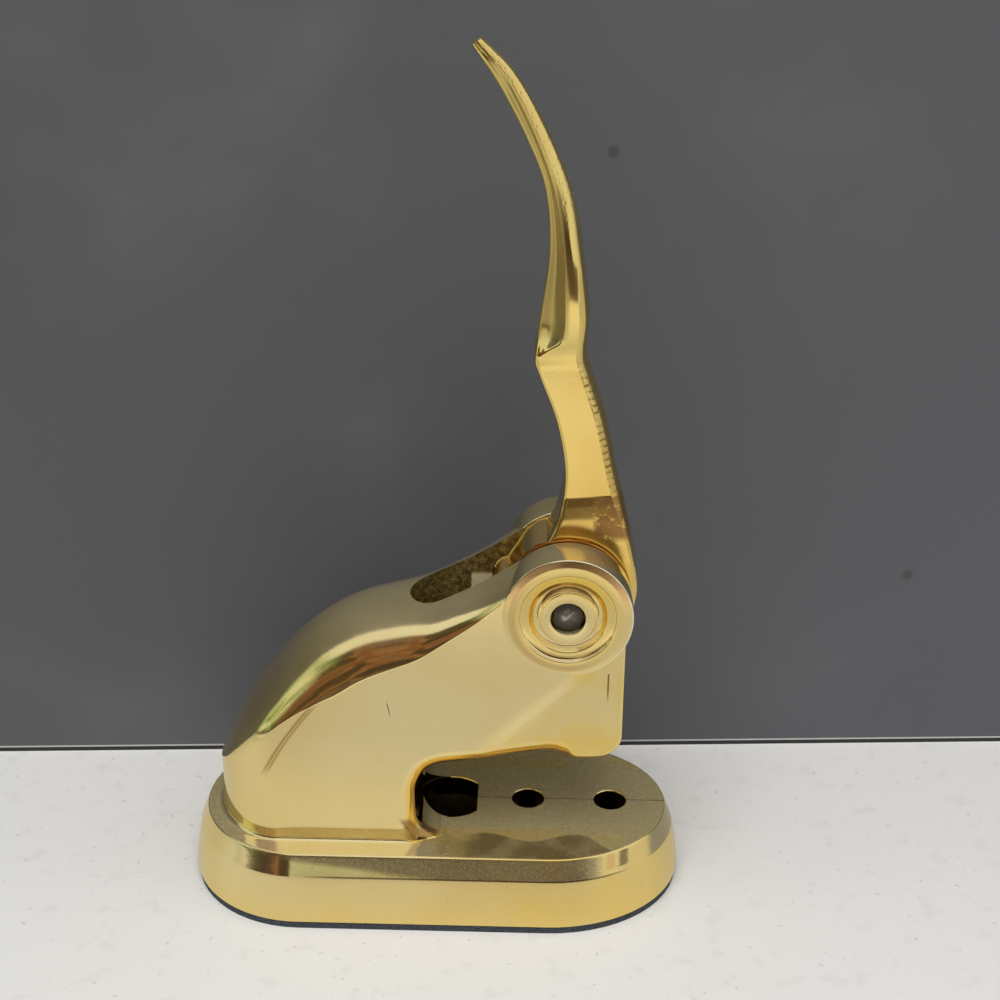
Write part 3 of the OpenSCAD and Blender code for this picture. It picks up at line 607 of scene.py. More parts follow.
casting_gold = gold_finish("casting_gold", frame_marks, GOLD_PALE, GOLD_DEEP)
dress(frame_base, casting_gold, "press_frame", "frame")

# The column, hump, arm and head of the frame casting: one form with flat sides that lean in a little, a crest
# that rolls over from side to side, a throat with rolled edges, and a slot that leaves the head two cheeks.
PIN_X, PIN_Z = 36.8, 94.0
BOSS_R, BOSS_HALF = 17.5, 20.8
SLOT_HALF, SLOT_REAR = 9.5, -6.7
REAR_MIDDLE, REAR_DEEP = -42.3, 19.9
HEAD_UNDER, HEAD_FRONT = 50.4, 52.5
SLOT_FLOOR, CHAMBER_FLOOR, FRONT_INNER = 79.7, 62.0, 47.9
FAN = np.array([-8.0, 22.0])
FOOT_X, CRISP, ROLL = -8.1, 40, 0.87
SLEEVE_X, SLEEVE_R, BOSS_ROOM_R, CORNER_R = 39, 10.5, 13.3, 6.5


def cubic(start, start_slope, stop, stop_slope, steps):
    """Points of a smooth curve between two points with a given slope at each, without the last."""
    t = np.linspace(0, 1, steps, endpoint=False)[:, None]
    return ((2 * t**3 - 3 * t**2 + 1) * start + (t**3 - 2 * t**2 + t) * start_slope
            + (3 * t**2 - 2 * t**3) * stop + (t**3 - t**2) * stop_slope)


def smooth_path(nodes, steps):
    """A curve through points with given headings in degrees: a cubic from each to the next, whose speed is
    the distance between them."""
    out = []
    for (start, heading), (stop, next_heading) in zip(nodes[:-1], nodes[1:]):
        start, stop = np.array(start, float), np.array(stop, float)
        turns = np.radians([heading, next_heading])
        leave, arrive = np.hypot(*(stop - start)) * np.stack([np.cos(turns), np.sin(turns)], -1)
        out.append(cubic(start, leave, stop, arrive, steps))
    return np.concatenate(out + [np.array([nodes[-1][0]], float)])


def side_reach(x, z):
    """How far the casting's side is from the middle plane: flat, but half an ellipse in plan at the rear. It
    leans in as it rises, and past a soft diagonal crease the nose leans in further to its front corner."""
    past = past_crease(x, z)
    soft = 0.5 * (past + np.sqrt(past * past + 0.6)) * np.clip((x - LEAN_START) / LEAN_RUN, 0, 1)
    lean = 0.8 * (1 - np.exp(-soft / 1.2)) + 0.05 * soft
    round_end = np.sqrt(np.clip(1 - (np.clip(REAR_MIDDLE - x, 0, None) / REAR_DEEP) ** 2, 0.0002, 1))
    return (COLUMN_HALF - SIDE_DRAFT * (z - BASE_TOP)) * round_end - lean


# The crest in rows: angle round FAN, reach of the outer line, depth to where the flat side starts.
FAN_ROWS = [(163.5, 56.6, 0.1), (155, 56.2, 3.3), (148, 56.6, 5.2), (140, 57.1, 6.3), (130, 58.6, 8.3),
            (120, 61.2, 11.3), (110, 64.2, 13.9), (101, 66.3, 13.1), (94, 67.3, 12.2), (88, 68.9, 11.6),
            (84, 70.8, 11.1), (81.4, 73.1, 10.6), (76.9, 77.2, 9.3), (73.1, 82.3, 8.7), (69.9, 88.3, 7.2),
            (67.4, 93.9, 3.5)]
fan_turn, fan_reach, crest_depth = np.array(FAN_ROWS).T
fan_angle = np.linspace(fan_turn[0], fan_turn[-1], 145)


def faired(values):
    """Values of the fan's rows read at every angle, then smoothed by a bell of 15 neighbours."""
    fine = np.interp(-fan_angle, -fan_turn, values)
    return np.convolve(np.pad(fine, 7, "reflect", reflect_type="odd"), np.hanning(17)[1:-1] / 8, "valid")


outward = np.stack([np.cos(np.radians(fan_angle)), np.sin(np.radians(fan_angle))], -1)
crest = FAN + faired(fan_reach)[:, None] * outward
crest_inner = crest - np.maximum(faired(crest_depth), 0.1)[:, None] * outward
climb = np.linspace(20.2, crest[0, 1] - 0.8, 12)
rear_wall = np.stack([np.full(12, crest[0, 0]) - 0.2 * np.sin(np.linspace(0, math.pi, 12)), climb], -1)


def square_to(along):
    """Directions turned a quarter to the right, one unit long."""
    size = np.maximum(np.hypot(along[:, 0], along[:, 1]), 1e-9)[:, None]
    return np.stack([along[:, 1], -along[:, 0]], -1) / size


def edge_run(path, depth):
    """A stretch of the side view's outline with the line where its rounding meets the flat side: each point
    moved in, along the outline's normal, by a depth."""
    depth = np.broadcast_to(depth, len(path))[:, None]
    return path, path + depth * square_to(np.gradient(path, axis=0))


runs = [(rear_wall, rear_wall + (0.06, 0.0), np.full(12, 90.0)),
        (crest, crest_inner, np.full(len(crest), 90.0))]
over_boss = bend((PIN_X, PIN_Z), 16.6, 112, -10, 30)
front_drop = np.stack([np.full(18, HEAD_FRONT), np.linspace(88, 57, 18)], -1)
corner = bend((HEAD_FRONT - CORNER_R, HEAD_UNDER + CORNER_R - 0.2), CORNER_R, -4, -80, 12)
for path, depth in ((over_boss, 0.7), (front_drop, 0.9), (corner, 0.9)):
    outer, inner = edge_run(path, depth)
    runs.append((outer, inner, np.full(len(outer), 0.9)))
underside = smooth_path([((44.5, 50.0), 186), ((38.5, 49.9), 176), ((34.2, 50.6), 168), ((29, 50.5), 188),
                         ((14, 48.3), 187), ((3.5, 46.9), 190), ((-2.4, 43.6), 240), ((-4.5, 37.5), 268),
                         ((-4.5, 30.6), 270), ((-2.1, 24.8), 315), ((3.6, 22.4), 358)], 9)
share = np.arange(len(underside)) / 9
under_depth = np.interp(share, [0, 0.8, 1.3, 2, 3, 4, 5, 6, 7, 8, 9, 10],
                        [0.9, 1.2, 4.4, 4.9, 4.7, 4.8, 4.9, 4.4, 3.8, 3.6, 4.5, 6.0])
outer, inner = edge_run(underside, under_depth)
foot_rank = np.clip((30.6 - outer[:, 1]) / 8.2, 0, 1)
foot_level = np.clip(inner[:, 1], 23.6 - 2.8 * foot_rank, 36 - 13 * foot_rank)
foot_line = np.stack([np.full(len(inner), FOOT_X), foot_level], -1)
inner = np.where(foot_rank[:, None] > 0, foot_line, inner)
under_width = np.interp(share, [0, 0.8, 1.3, 2, 10], [0.9, 1.2, 3.6, 4.3, 4.3])
runs.append((outer, inner, under_width))
sunk = np.linspace(0, 1, 12)[:, None]
runs.append(((1 - sunk) * np.array([3.6, 20.0]) + sunk * np.array([-62.0, 20.0]),
             (1 - sunk) * np.array([FOOT_X, 20.4]) + sunk * np.array([-62.0, 20.1]),
             np.interp(sunk[:, 0], [0, 1], [4.3, 90])))
outer, inner, rolled = (np.concatenate(parts) for parts in zip(*runs))
reach = side_reach(inner[:, 0], inner[:, 1])
rolled = np.minimum(rolled, reach - 0.05)
past_crest = len(crest) + np.array([12, 40, 74, 90])
edge_start = np.interp(np.arange(len(outer)), [0, 12, 22, *past_crest], [89.5, 89.5, 77, 77, 80, 74, 64])
angle = np.radians(edge_start)[:, None] * np.r_[1, 0.985, np.linspace(0.93, 0, 14)][None, :]
top = np.radians(edge_start)[:, None]
roll_in = (1 - np.cos(angle) ** ROLL) / (1 - np.cos(top) ** ROLL)
roll_out = (np.sin(angle) / np.sin(top)) ** ROLL


def rolled_edge(sign):
    """From the side to the middle of the edge: the end of a quarter ellipse between the inner and the outer
    line, cut off where its slope is that of the crease between the two faces."""
    plan = outer[:, None, :] + (inner - outer)[:, None, :] * roll_in[..., None]
    y = sign * ((reach - rolled)[:, None] + rolled[:, None] * roll_out)
    return np.stack([plan[..., 0], y, plan[..., 1]], -1)


band = np.concatenate([rolled_edge(-1), rolled_edge(1)[:, ::-1]], 1)
NET = 1.6


def nearest(points, line):
    """The distance from each point to the nearest point of a line."""
    return np.hypot(points[:, None, 0] - line[None, :, 0], points[:, None, 1] - line[None, :, 1]).min(1)


def flat_side(sign, start):
    """The flat side inside the inner line, filled with a triangle net that can follow the nose's lean."""
    loop = [Vector(p) for p in inner]
    round_rear = REAR_MIDDLE - REAR_DEEP * np.sin(np.radians(np.arange(86, 0, -3.0)))
    along = np.concatenate([round_rear, np.arange(REAR_MIDDLE, 56, NET)])
    xs, zs = np.meshgrid(along, np.arange(20, 112, NET))
    cloud = np.stack([xs.ravel(), zs.ravel()], -1)
    cloud = cloud[nearest(cloud, inner) > NET / 2]
    close = inner + 0.22 * square_to(np.roll(inner, -1, 0) - np.roll(inner, 1, 0))
    kept = (nearest(close, inner) > 0.19) & (close[:, 0] > REAR_MIDDLE - REAR_DEEP + 1)
    cloud = np.concatenate([cloud, close[kept]])
    count = len(loop)
    edges = [(i, (i + 1) % count) for i in range(count)]
    net = geometry.delaunay_2d_cdt(loop + [Vector(p) for p in cloud], edges, [], 1, 1e-5)
    flat = np.array([tuple(v) for v in net[0]])
    points = np.stack([flat[:, 0], sign * side_reach(flat[:, 0], flat[:, 1]), flat[:, 1]], -1)
    return points, [[start + i for i in f] for f in net[2]]


points = [band.reshape(-1, 3)]
faces = list(grid_faces(*band.shape[:2], True, False))
for sign in (-1, 1):
    side_points, side_faces = flat_side(sign, sum(len(p) for p in points))
    points.append(side_points)
    faces = faces + side_faces
frame_body = make_piece("frame_body", np.concatenate(points), faces, CRISP)


def cross_prism(name, outline, low, high):
    """A side-view outline carried straight across, along Y."""
    x, z = np.asarray(outline, float).T
    points = np.concatenate([np.column_stack([x, np.full(len(x), y), z]) for y in (low, high)])
    return make_piece(name, points, capped_faces(2, len(x)))


slot_ends = [(75, -SLOT_HALF), (75, SLOT_HALF)]
slot_plan = np.concatenate([bend((SLOT_REAR + SLOT_HALF, 0), SLOT_HALF, 90, 270, 41), slot_ends])
hollow = [(-55, 15), (-53.8, 36), (-46.5, 54.7), (-33.5, 65.7), (-18.7, 79.7), (-6.7, 81.7), (19.3, 81.7),
          (19.3, 56.6), (-12.5, 54.6), (-12.5, 15)]
chamber = [(18.3, CHAMBER_FLOOR), (FRONT_INNER, CHAMBER_FLOOR), (FRONT_INNER, 81), (18.3, 81)]
boss_room = bend((PIN_X, PIN_Z), BOSS_ROOM_R, 0, 360, 97)[:-1]
cutters = [upright_solid("slot", [(slot_plan, SLOT_FLOOR), (slot_plan, 150)]),
           cross_prism("hollow", hollow, 0.01 - SLOT_HALF, SLOT_HALF - 0.01),
           cross_prism("chamber", chamber, 0.02 - SLOT_HALF, SLOT_HALF - 0.02),
           round_cutter("sleeve_bore", SLEEVE_X, [(SLEEVE_R, 48), (SLEEVE_R, 63)]),
           window_cutter("window", [(0, 15), (0, 31)]),
           cross_prism("near_room", boss_room, -30.0, -9.0), cross_prism("far_room", boss_room, 9.0, 30.0)]
for cutter in cutters:
    cut_away(frame_body, cutter, CRISP)
even_normals(frame_body)
dress(frame_body, casting_gold, "press_frame", "frame")

# The hollow rounding between the column's foot and the base's top, part of the same casting.
FOOT_STEPS = 24


def foot_bead():
    """A hollow quarter round, closed behind and below, carried along the column's foot: straight along both
    sides and round the rear ellipse. It is widest at the rear and thins out at the throat."""
    side_run = np.linspace(-5.5, REAR_MIDDLE, FOOT_STEPS)
    turn = np.radians(np.linspace(0, 180, 61))[1:-1]
    x = np.concatenate([side_run, REAR_MIDDLE - REAR_DEEP * np.sin(turn), side_run[::-1]])
    side_y = np.full(FOOT_STEPS, COLUMN_HALF)
    y = np.concatenate([-side_y, -COLUMN_HALF * np.cos(turn), side_y])
    turn = np.concatenate([np.zeros(FOOT_STEPS), turn, np.full(FOOT_STEPS, math.pi)])
    out = np.stack([-np.sin(turn) / REAR_DEEP, -np.cos(turn) / COLUMN_HALF], -1)
    out /= np.hypot(out[:, 0], out[:, 1])[:, None]
    size = ((1.0 + 1.6 * np.sin(turn) ** 2) * np.clip((-4.5 - x) / 5, 0.15, 1))[:, None]
    quarter = np.radians(np.linspace(180, 270, 9))
    away = size * np.concatenate([[-0.8, -0.8], 1 + np.cos(quarter), [1.0]])[None, :]
    lift = BASE_TOP + size * np.concatenate([[-0.5, 1.0], 1 + np.sin(quarter), [-0.5]])[None, :]
    points = np.stack([x[:, None] + out[:, :1] * away, y[:, None] + out[:, 1:] * away, lift], -1)
    return points.reshape(-1, 3), capped_faces(*points.shape[:2])


points, faces = foot_bead()
frame_fillet = make_piece("frame_fillet", points, faces, 50)
dress(frame_fillet, casting_gold, "press_frame", "frame")

# The two bosses round the pivot, part of the same casting: a rounded rim, a turned step and a deep recess
# with a sloping wall, bored for the bush.
STEP_R, RECESS_R, BUSH_R = 12.8, 10.6, 8.1


def turned_across(name, profile, sign, steps=128, closed=True):
    """A profile of (radius, distance from the middle plane) turned round the pivot's axis."""
    profile = np.asarray(profile, float)
    a = np.linspace(0, 2 * math.pi, steps, endpoint=False)[None, :]
    points = np.stack([PIN_X + profile[:, 0][:, None] * np.cos(a),
                       np.broadcast_to(sign * profile[:, 1][:, None], (len(profile), steps)),
                       PIN_Z + profile[:, 0][:, None] * np.sin(a)], -1)
    return make_piece(name, points.reshape(-1, 3), grid_faces(len(profile), steps, closed, True), 30)


recess_floor = 18.3
boss_profile = np.concatenate([
    [(BUSH_R, 8.9), (BUSH_R, recess_floor - 0.4), (BUSH_R + 0.12, recess_floor)],
    bend((BUSH_R + 0.9, recess_floor + 0.75), 0.75, 265, 300, 5), [(RECESS_R - 0.35, BOSS_HALF - 1.35)],
    bend((RECESS_R + 0.15, BOSS_HALF - 1.45), 0.45, 150, 95, 6),
    [(11.3, BOSS_HALF - 0.95), (12.1, BOSS_HALF - 0.86)],
    bend((STEP_R - 0.45, BOSS_HALF - 0.3), 0.45, 277, 350, 5),
    bend((STEP_R + 0.4, BOSS_HALF - 0.22), 0.4, 170, 90, 5) + (0.0, 0.02),
    [(14.2, BOSS_HALF + 0.2), (15.3, BOSS_HALF + 0.2), (15.6, BOSS_HALF + 0.17), (17.0, BOSS_HALF - 0.2)],
    bend((BOSS_R - 0.6, BOSS_HALF - 0.78), 0.6, 72, 0, 7),
    [(BOSS_R, 14), (BOSS_R, 10.2)], bend((BOSS_R - 0.7, 10.2), 0.7, 0, -90, 5)[1:],
    [(16.7, 9.3), (16.6, 8.95), (16.5, 8.9)]])


def pin_distance(work):
    """The distance from the pivot's axis, in millimetres."""
    x, _, z = place_on(work)
    return ((x - PIN_X) * (x - PIN_X) + (z - PIN_Z) * (z - PIN_Z)).power(0.5)


def boss_marks(work, colour, roughness, height, metal):
    """What the turned bosses and bushes carry: a richer colour in the groove and on its step, a deeper yellow
    on the step's upper half as painted reflection, a painted highlight low in the groove, painted highlights
    on the rims, dark rings of painted shade at the upper edges, rose-brown rings of painted shade, and fine
    rings from the lathe tool."""
    x, _, z = place_on(work)
    across, up, ring = x - PIN_X, z - PIN_Z, pin_distance(work)
    above, turned_up = up.ramp(1.0, 9.0), (across + 0.6 * up).ramp(-8.0, 5.0)
    # A pale band low in the groove: painted highlight.
    groove_highlight = line_mask(ring, 9.2, 0.9) * (up * -1.0).ramp(3.0, 8.5)
    # Dark rings on the upper half only, at the edges of the step and the recess: painted shade.
    edge = (line_mask(ring, 12.95, 0.10) + line_mask(ring, 10.45, 0.12)) * above
    # Bright rings on the outer rim's upper right and on the step: painted highlights.
    rim = line_mask(ring, 17.2, 0.13) * turned_up + 0.7 * line_mask(ring, 12.75, 0.14)
    # Rose-brown rings on the face's upper half and lower left: painted shade.
    band = line_mask(ring, 16.3, 0.6) * above + 0.5 * line_mask(ring, 15.0, 0.6) * (1 - turned_up)
    colour = painted(work, colour, [
        (groove_highlight * 0.7, (1.0, 0.96, 0.80, 1)),
        (ring.between(8.0, 10.6, 13.5, 17.0) * 0.7, (0.90, 0.69, 0.24, 1)),
        # The step's upper half painted a deeper yellow: painted reflection.
        (ring.between(10.4, 10.7, 12.5, 12.8) * above * 0.75, (0.98, 0.70, 0.13, 1)),
        (edge.least(1.0) * 0.8, (0.25, 0.15, 0.04, 1)),
        (rim.least(1.0) * 0.8, (1.0, 0.97, 0.82, 1)),
        (band.least(1.0) * 0.62, (0.52, 0.24, 0.12, 1)),
        (line_mask(ring, 7.45, 0.12) * 0.7, (0.92, 0.66, 0.16, 1))])
    return colour, roughness, height + 0.35 * ring.maths("SINE", ring * 34.0), metal


turned_gold = gold_finish("turned_gold", boss_marks, GOLD_PALE, GOLD_DEEP, 0.15, 0.15, 0.06)
for name, sign in (("near_boss", -1), ("far_boss", 1)):
    boss = turned_across(name, boss_profile, sign)
    dress(boss, turned_gold, "press_frame", "frame")

# The two bushes: turned discs, gold-plated like the casting, pressed into the bosses with their faces flush.
# Each has a bore that opens into a short counterbore.
BUSH_FACE, PIN_END, PIN_R, COUNTERBORE_R = 20.6, 19.4, 4.0, 4.66
bush_profile = np.concatenate([
    [(PIN_R + 0.06, 9.0), (PIN_R + 0.06, 17.6), (COUNTERBORE_R, 17.9)],
    bend((COUNTERBORE_R + 0.3, BUSH_FACE - 0.3), 0.3, 180, 90, 5),
    [(6.4, BUSH_FACE), (7.3, BUSH_FACE - 0.02), (7.45, BUSH_FACE - 0.16)],
    bend((BUSH_R - 0.3, BUSH_FACE - 0.5), 0.3, 90, 5, 5), [(BUSH_R, 17.8), (BUSH_R, 9.0)]])
for name, node, sign in (("near_disc", "near_bush", -1), ("far_disc", "far_bush", 1)):
    disc = turned_across(name, bush_profile, sign)
    dress(disc, turned_gold, "press_frame", node)

# The pin: turned dark steel that ends a little below the bush's face. Its end has rings from the lathe tool,
# and a middle painted paler, with speckled painted glints: painted highlights.
end = [(0, PIN_END - 0.35), (0.5, PIN_END - 0.2), (1.4, PIN_END - 0.06), (3.5, PIN_END),
       (3.85, PIN_END - 0.1), (PIN_R, PIN_END - 0.35)]
turned_pin = turned_across("turned_pin", [(r, -y) for r, y in end] + end[::-1], 1, 96, False)
pin_face, work = new_finish("turned_pin_end")
ring = pin_distance(work)
grain = noise(work, 500, 3)
wave = ring.maths("SINE", ring * 16.0 + 1.5 * grain)
# Speckled glints near the middle, and a middle paler than the edge: painted highlights.
glint = noise(work, 900, 2).ramp(0.52, 0.66) * (1 - ring.ramp(0.8, 2.8))
tone = work.mix(ring.ramp(0.2, 3.4), (0.22, 0.21, 0.19, 1), (0.09, 0.085, 0.08, 1))
tone = work.mix(glint * 0.6, tone, (0.75, 0.73, 0.68, 1))
height = wave + grain - 0.4 * ring * ring
bump = work.node("Bump", {}, {"Strength": 0.5, "Distance": 0.00006, "Height": height})
join_surface(work, {"Base Color": tone, "Metallic": 1.0, "Roughness": 0.28 + 0.1 * grain, "Normal": bump})
dress(turned_pin, pin_face, "lever_arm", "pivot_pin")

# The lever: one gold-plated casting with a flat-sided neck, and a handle whose broad front bar has flat edges
# and a thin rib behind it.
REAR_LINE = [(-12.5, -6), (-10.5, 6), (-7.0, 13.5), (-2.9, 23.5), (-1.6, 35.5), (-4.0, 49.7),
             (-8.9, 63), (-10.1, 67.8), (-8.7, 78.8), (-6.9, 94.6), (-8.2, 110), (-12.9, 122.4),
             (-19.9, 135.5), (-26.2, 144.9)]
FRONT_LINE = [(14.5, -12.5), (18.9, -1), (18.4, 9.5), (15.0, 24.4), (12.1, 36.4), (9.1, 50), (5.0, 62.9),
              (3.5, 68.5), (3.9, 79.2), (1.9, 95), (-1.1, 109.6), (-7.6, 124.6), (-15.6, 138.2),
              (-23.9, 146.5)]
RIB_HALF, EDGE_R = 2.1, 1.3


def eased(values, steps):
    """A smooth curve through a row of points: a cubic between each two, with their neighbours' slope."""
    values = np.asarray(values, float)
    slope = np.gradient(values, axis=0)
    ends = zip(values[:-1], slope[:-1], values[1:], slope[1:])
    parts = [cubic(*end, steps) for end in ends]
    return np.concatenate(parts + [values[-1:]])


rear, front = eased(REAR_LINE, 20), eased(FRONT_LINE, 20)
deep = np.hypot(*(front - rear).T)
level = 0.5 * (rear + front)[:, 1]


def soft_step(value, low, high):
    """0 below the low value, 1 above the high one, smooth between."""
    t = np.clip((value - low) / (high - low), 0, 1)
    return t * t * (3 - 2 * t)


# The bar's half width, up the lever from below the pivot to the tip.
HALF_WIDTHS = [(-10, 7.95), (12, 7.9), (18, 7.7), (23, 7.35), (27.0, 6.9), (29.0, 6.55), (29.3, 6.5),
               (66, 6.5), (72, 7.4), (78, 8.6), (86, 9.3), (96, 8.9), (104, 7.8), (112, 6.4), (120, 5.1),
               (128, 4.1), (136, 3.2), (143, 2.7), (145.7, 2.4)]
bar_half = np.interp(level, *np.array(HALF_WIDTHS).T)
smoothed = np.convolve(np.pad(bar_half, 8, "edge"), np.ones(17) / 17, "valid")
bar_half = np.where(level > 40, smoothed, bar_half)
crease_share = [0.2, 0.50, 0.50, 0.43, 0.36, 0.46, 0.52, 0.45]
crease = deep * np.interp(level, [69, 72, 78, 94, 108, 123, 136, 146], crease_share)
chamfer_deep = np.interp(level, [0, 20, 30, 60, 100, 115, 146], [0.8, 1.2, 2.1, 2.2, 1.9, 0.8, 0.4])
chamfer_in = np.interp(level, [0, 20, 30, 60, 100, 115, 146], [0.8, 1.2, 2.0, 2.2, 1.8, 0.8, 0.4])
crown = np.interp(level, [0, 30, 60, 100, 120, 146], [0.4, 0.8, 0.9, 0.7, 0.3, 0.2])
strip_tilt = np.tan(np.radians(np.interp(level, [66, 80, 93, 109, 116, 146], [0, 3, 8, 15, 25, 28])))


def lever_half_section():
    """Half of each cross-section, as depth from the rear edge and distance from the middle plane: a rounded
    rear edge, the rib's side, a hollow that curves out to the bar, the bar's tilted edge, its chamfer and the
    crowned front. Up and down the lever the hollow starts and ends in a smooth step."""
    sizes = bar_half, deep, chamfer_deep, chamfer_in, crown, strip_tilt, level, crease
    half, full, chamfer, corner, bulge, tilt, height, hollow = (size[:, None] for size in sizes)
    hollow = np.maximum(hollow, np.minimum(EDGE_R + 0.4, 0.43 * full))
    down = np.linspace(0, 1, 13)[None, :] ** 0.8
    scooped = soft_step(height - 3.4 * down ** 2, 68.5 + 0.5 * down, 76.0 - 3.4 * down)
    scooped = scooped * (1 - soft_step(height + 2.5 * down ** 2, 134.0, 144.0))
    side = half - (half - np.minimum(RIB_HALF, 0.75 * half)) * (1 - down ** 2.2) * scooped
    rib = side[:, :1]
    radius = np.minimum(np.minimum(EDGE_R, 0.8 * rib), 0.28 * full)
    quarter = np.pi / 2 * np.linspace(0, 1, 6)[None, :]
    strip = (full - bulge - chamfer - hollow) * np.linspace(0, 1, 4)[None, 1:]
    edge = half - tilt * strip
    corner = np.minimum(corner, 0.6 * edge[:, -1:])
    cut, crossing = np.linspace(0, 1, 5)[None, 1:], np.linspace(1, 0, 7)[None, 1:]
    front_start = full - bulge - chamfer
    cove = (radius + (hollow - radius) * down)[:, 1:]
    depths = [np.zeros((len(deep), 2)), radius * (1 - np.cos(quarter)), cove, hollow + strip,
              front_start + chamfer * cut, full - bulge * crossing ** 2]
    reaches = [np.concatenate([0 * rib, (rib - radius) * 0.6], 1), (rib - radius) + radius * np.sin(quarter),
               side[:, 1:], edge, edge[:, -1:] - corner * cut ** 1.25, (edge[:, -1:] - corner) * crossing]
    return np.concatenate(depths, 1), np.concatenate(reaches, 1)


depth, across = lever_half_section()
depth = np.concatenate([depth, depth[:, 1:-1][:, ::-1]], 1)
across = np.concatenate([-across, across[:, 1:-1][:, ::-1]], 1)
forward = (front - rear) / deep[:, None]
plan = rear[:, None, :] + forward[:, None, :] * depth[..., None]
lever_points = np.stack([PIN_X + plan[..., 0], across, PIN_Z + plan[..., 1]], -1)
rows, columns = lever_points.shape[:2]
from_rear = np.minimum(np.arange(columns), columns - np.arange(columns)) / (columns / 2)
sweep = np.stack(np.broadcast_arrays(level[:, None] / 100, from_rear[None, :]), -1).reshape(-1, 2)
lever_arm = make_piece("lever_arm", lever_points.reshape(-1, 3), capped_faces(rows, columns), 30, sweep)
LEVER_PALE, LEVER_DEEP = (0.88, 0.71, 0.28, 1), (0.80, 0.56, 0.17, 1)


def lever_marks(work, colour, roughness, height, metal):
    """What the lever carries: chatter marks across the neck's front chamfer, a rough brown patch where the
    neck spreads into the hub, a duller hollow along the rib, painted darker as shade, and a dimpled strip for
    the thumb, painted paler as a highlight."""
    lumps = noise(work, 420, 4)
    dimples = dots(work, 900)
    level, round_it, _ = work.split(work.node("UVMap", {"uv_map": "sweep"}, {}))
    rung = level.maths("SINE", level * 330.0 + 5.0 * lumps)
    on_neck = round_it.between(0.685, 0.695, 0.815, 0.825) * level.between(0.26, 0.33, 0.60, 0.68)
    ladder = on_neck * rung.ramp(0.2, 0.8) * lumps.ramp(0.35, 0.6)
    scab = level.between(0.17, 0.19, 0.285, 0.295) * place_on(work)[0].ramp(42.5, 44.5)
    scab = scab * lumps.ramp(0.32, 0.48)
    behind, before = 1 - round_it.ramp(0.60, 0.635), round_it.ramp(0.60, 0.635)
    # The hollow along the rib is rougher, and painted darker as shade.
    cove = level.between(0.715, 0.74, 1.41, 1.43) * behind
    # The strip near the tip is painted paler as a highlight; its dimples are bumps.
    thumb = level.ramp(0.98, 1.10) * before
    dents = thumb * dimples.ramp(0.0, 0.5) * before * (1 - round_it.ramp(0.80, 0.84))
    colour = painted(work, colour, [
        (ladder * 0.75, (0.20, 0.12, 0.035, 1)), (scab * 0.75, (0.36, 0.17, 0.07, 1)),
        (cove * 0.8, (0.72, 0.58, 0.22, 1)), (thumb * 0.7, (0.95, 0.74, 0.28, 1))])
    rubbed = (ladder * 0.75 + scab * 0.7).least(0.9)
    roughness = roughness + 0.3 * rubbed + 0.27 * cove + 0.16 * thumb
    height = height - 8.0 * ladder + 10.0 * scab * lumps + 7.0 * dents + 1.5 * cove * lumps
    return colour, roughness, height, metal


lever_gold = gold_finish("lever_gold", lever_marks, LEVER_PALE, LEVER_DEEP, 0.8, 0.3, 0.09)
dress(lever_arm, lever_gold, "lever_arm", "lever")

# The lever's hub with its cam, cast in one with the arm: the cam's face is an involute, so that it pushes the
# ram straight down at an even rate.
HUB_HALF, CAM_RATE, CAM_DROP, SWING = 8.1, 4.0, 14.7, 76
turned = np.radians(np.arange(0, SWING + 1, 2.0))
drop = CAM_DROP + CAM_RATE * turned
cam = np.stack([-CAM_RATE * np.cos(turned) - drop * np.sin(turned),
                CAM_RATE * np.sin(turned) - drop * np.cos(turned)], -1)
hub_line = np.concatenate([
    cam, cam[-1] + np.array([(0.2, 1.6), (1.0, 3.2), (2.2, 4.4), (4.0, 5.0)]),
    [(-13, 9.5), (-11, 13), (-8, 15.5), (0, 17)],
    bend((0, 0), 1.0, 62, -45, 30) * np.linspace(17.1, 16.2, 30)[:, None], [(8, -14.2), (2, -CAM_DROP)]])
hub_line = hub_line + np.array([PIN_X, PIN_Z])


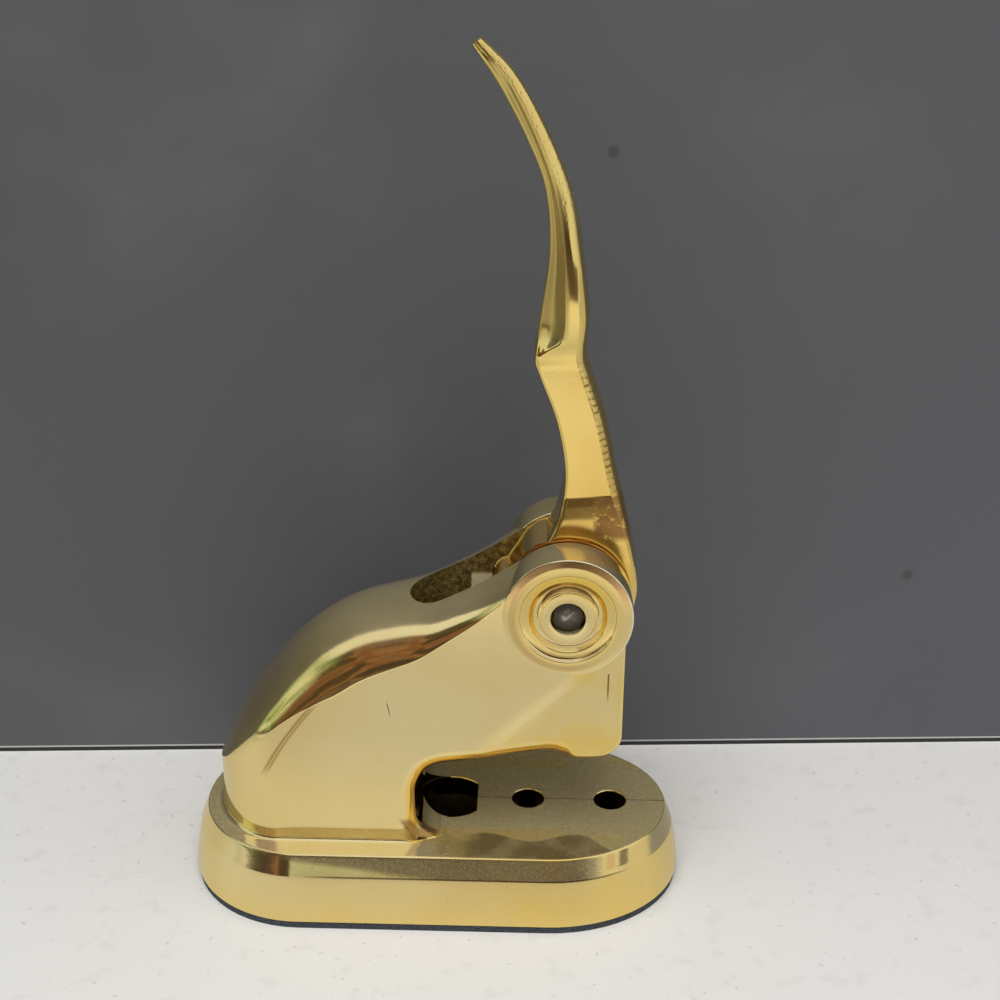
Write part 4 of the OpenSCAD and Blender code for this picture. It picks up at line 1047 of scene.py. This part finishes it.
def soft_prism(name, outline, half, soften):
    """A side-view outline carried across, its edges rounded over by moving the last rows in."""
    inward = square_to(np.roll(outline, -1, 0) - np.roll(outline, 1, 0))
    a = np.radians(np.linspace(0, 90, 6))
    ins = np.concatenate([soften * (1 - np.sin(a)), soften * (1 - np.sin(a[::-1]))])
    ys = np.concatenate([-half + soften * (1 - np.cos(a)), half - soften * (1 - np.cos(a[::-1]))])
    ring = outline[None] + ins[:, None, None] * inward[None]
    points = np.stack([ring[..., 0], np.broadcast_to(ys[:, None], ring.shape[:2]), ring[..., 1]], -1)
    return make_piece(name, points.reshape(-1, 3), capped_faces(*points.shape[:2]), 30)


lever_hub = soft_prism("lever_hub", hub_line[::-1], HUB_HALF, 0.6)
dress(lever_hub, lever_gold, "lever_arm", "lever")

# The small parts that stay as the frame has them: washers, ram, spring, screws, plate and pad. Each takes the
# finish of its slot: steel or bronze with a fine grain, or felt.


def plain_metal(name, colour, rough):
    """Bare metal with a fine grain that darkens and roughens it in specks."""
    made, work = new_finish(name)
    grain = noise(work, 600, 2)
    bump = work.node("Bump", {}, {"Strength": 0.3, "Distance": 0.00004, "Height": grain})
    tone = work.mix(grain.ramp(0.3, 0.7), colour, tuple(0.7 * c for c in colour[:3]) + (1,))
    rough = rough + 0.15 * grain
    join_surface(work, {"Base Color": tone, "Metallic": 1.0, "Roughness": rough, "Normal": bump})
    return made


dark_steel = plain_metal("dark_steel", (0.16, 0.155, 0.15, 1), 0.3)
bright_steel = plain_metal("bright_steel", (0.62, 0.62, 0.63, 1), 0.22)
bronze = plain_metal("bronze", (0.60, 0.42, 0.20, 1), 0.28)
felt, work = new_finish("felt")
fuzz = noise(work, 1500, 3)
tone = work.mix(fuzz.ramp(0.3, 0.7), (0.022, 0.026, 0.034, 1), (0.07, 0.08, 0.10, 1))
bump = work.node("Bump", {}, {"Strength": 0.8, "Distance": 0.0002, "Height": fuzz})
join_surface(work, {"Base Color": tone, "Roughness": 0.95, "Normal": bump})
finishes = {"gold_turned": turned_gold, "gold_casting": casting_gold, "dark_steel": dark_steel,
            "bright_steel": bright_steel, "bronze": bronze, "felt": felt}
for part in frame["record"]["subparts"]:
    node = frame["nodes"][part["node"]]
    node.data.materials.clear()
    node.data.materials.append(pin_face if part["node"] == "pivot_pin" else finishes[part["material_slot"]])
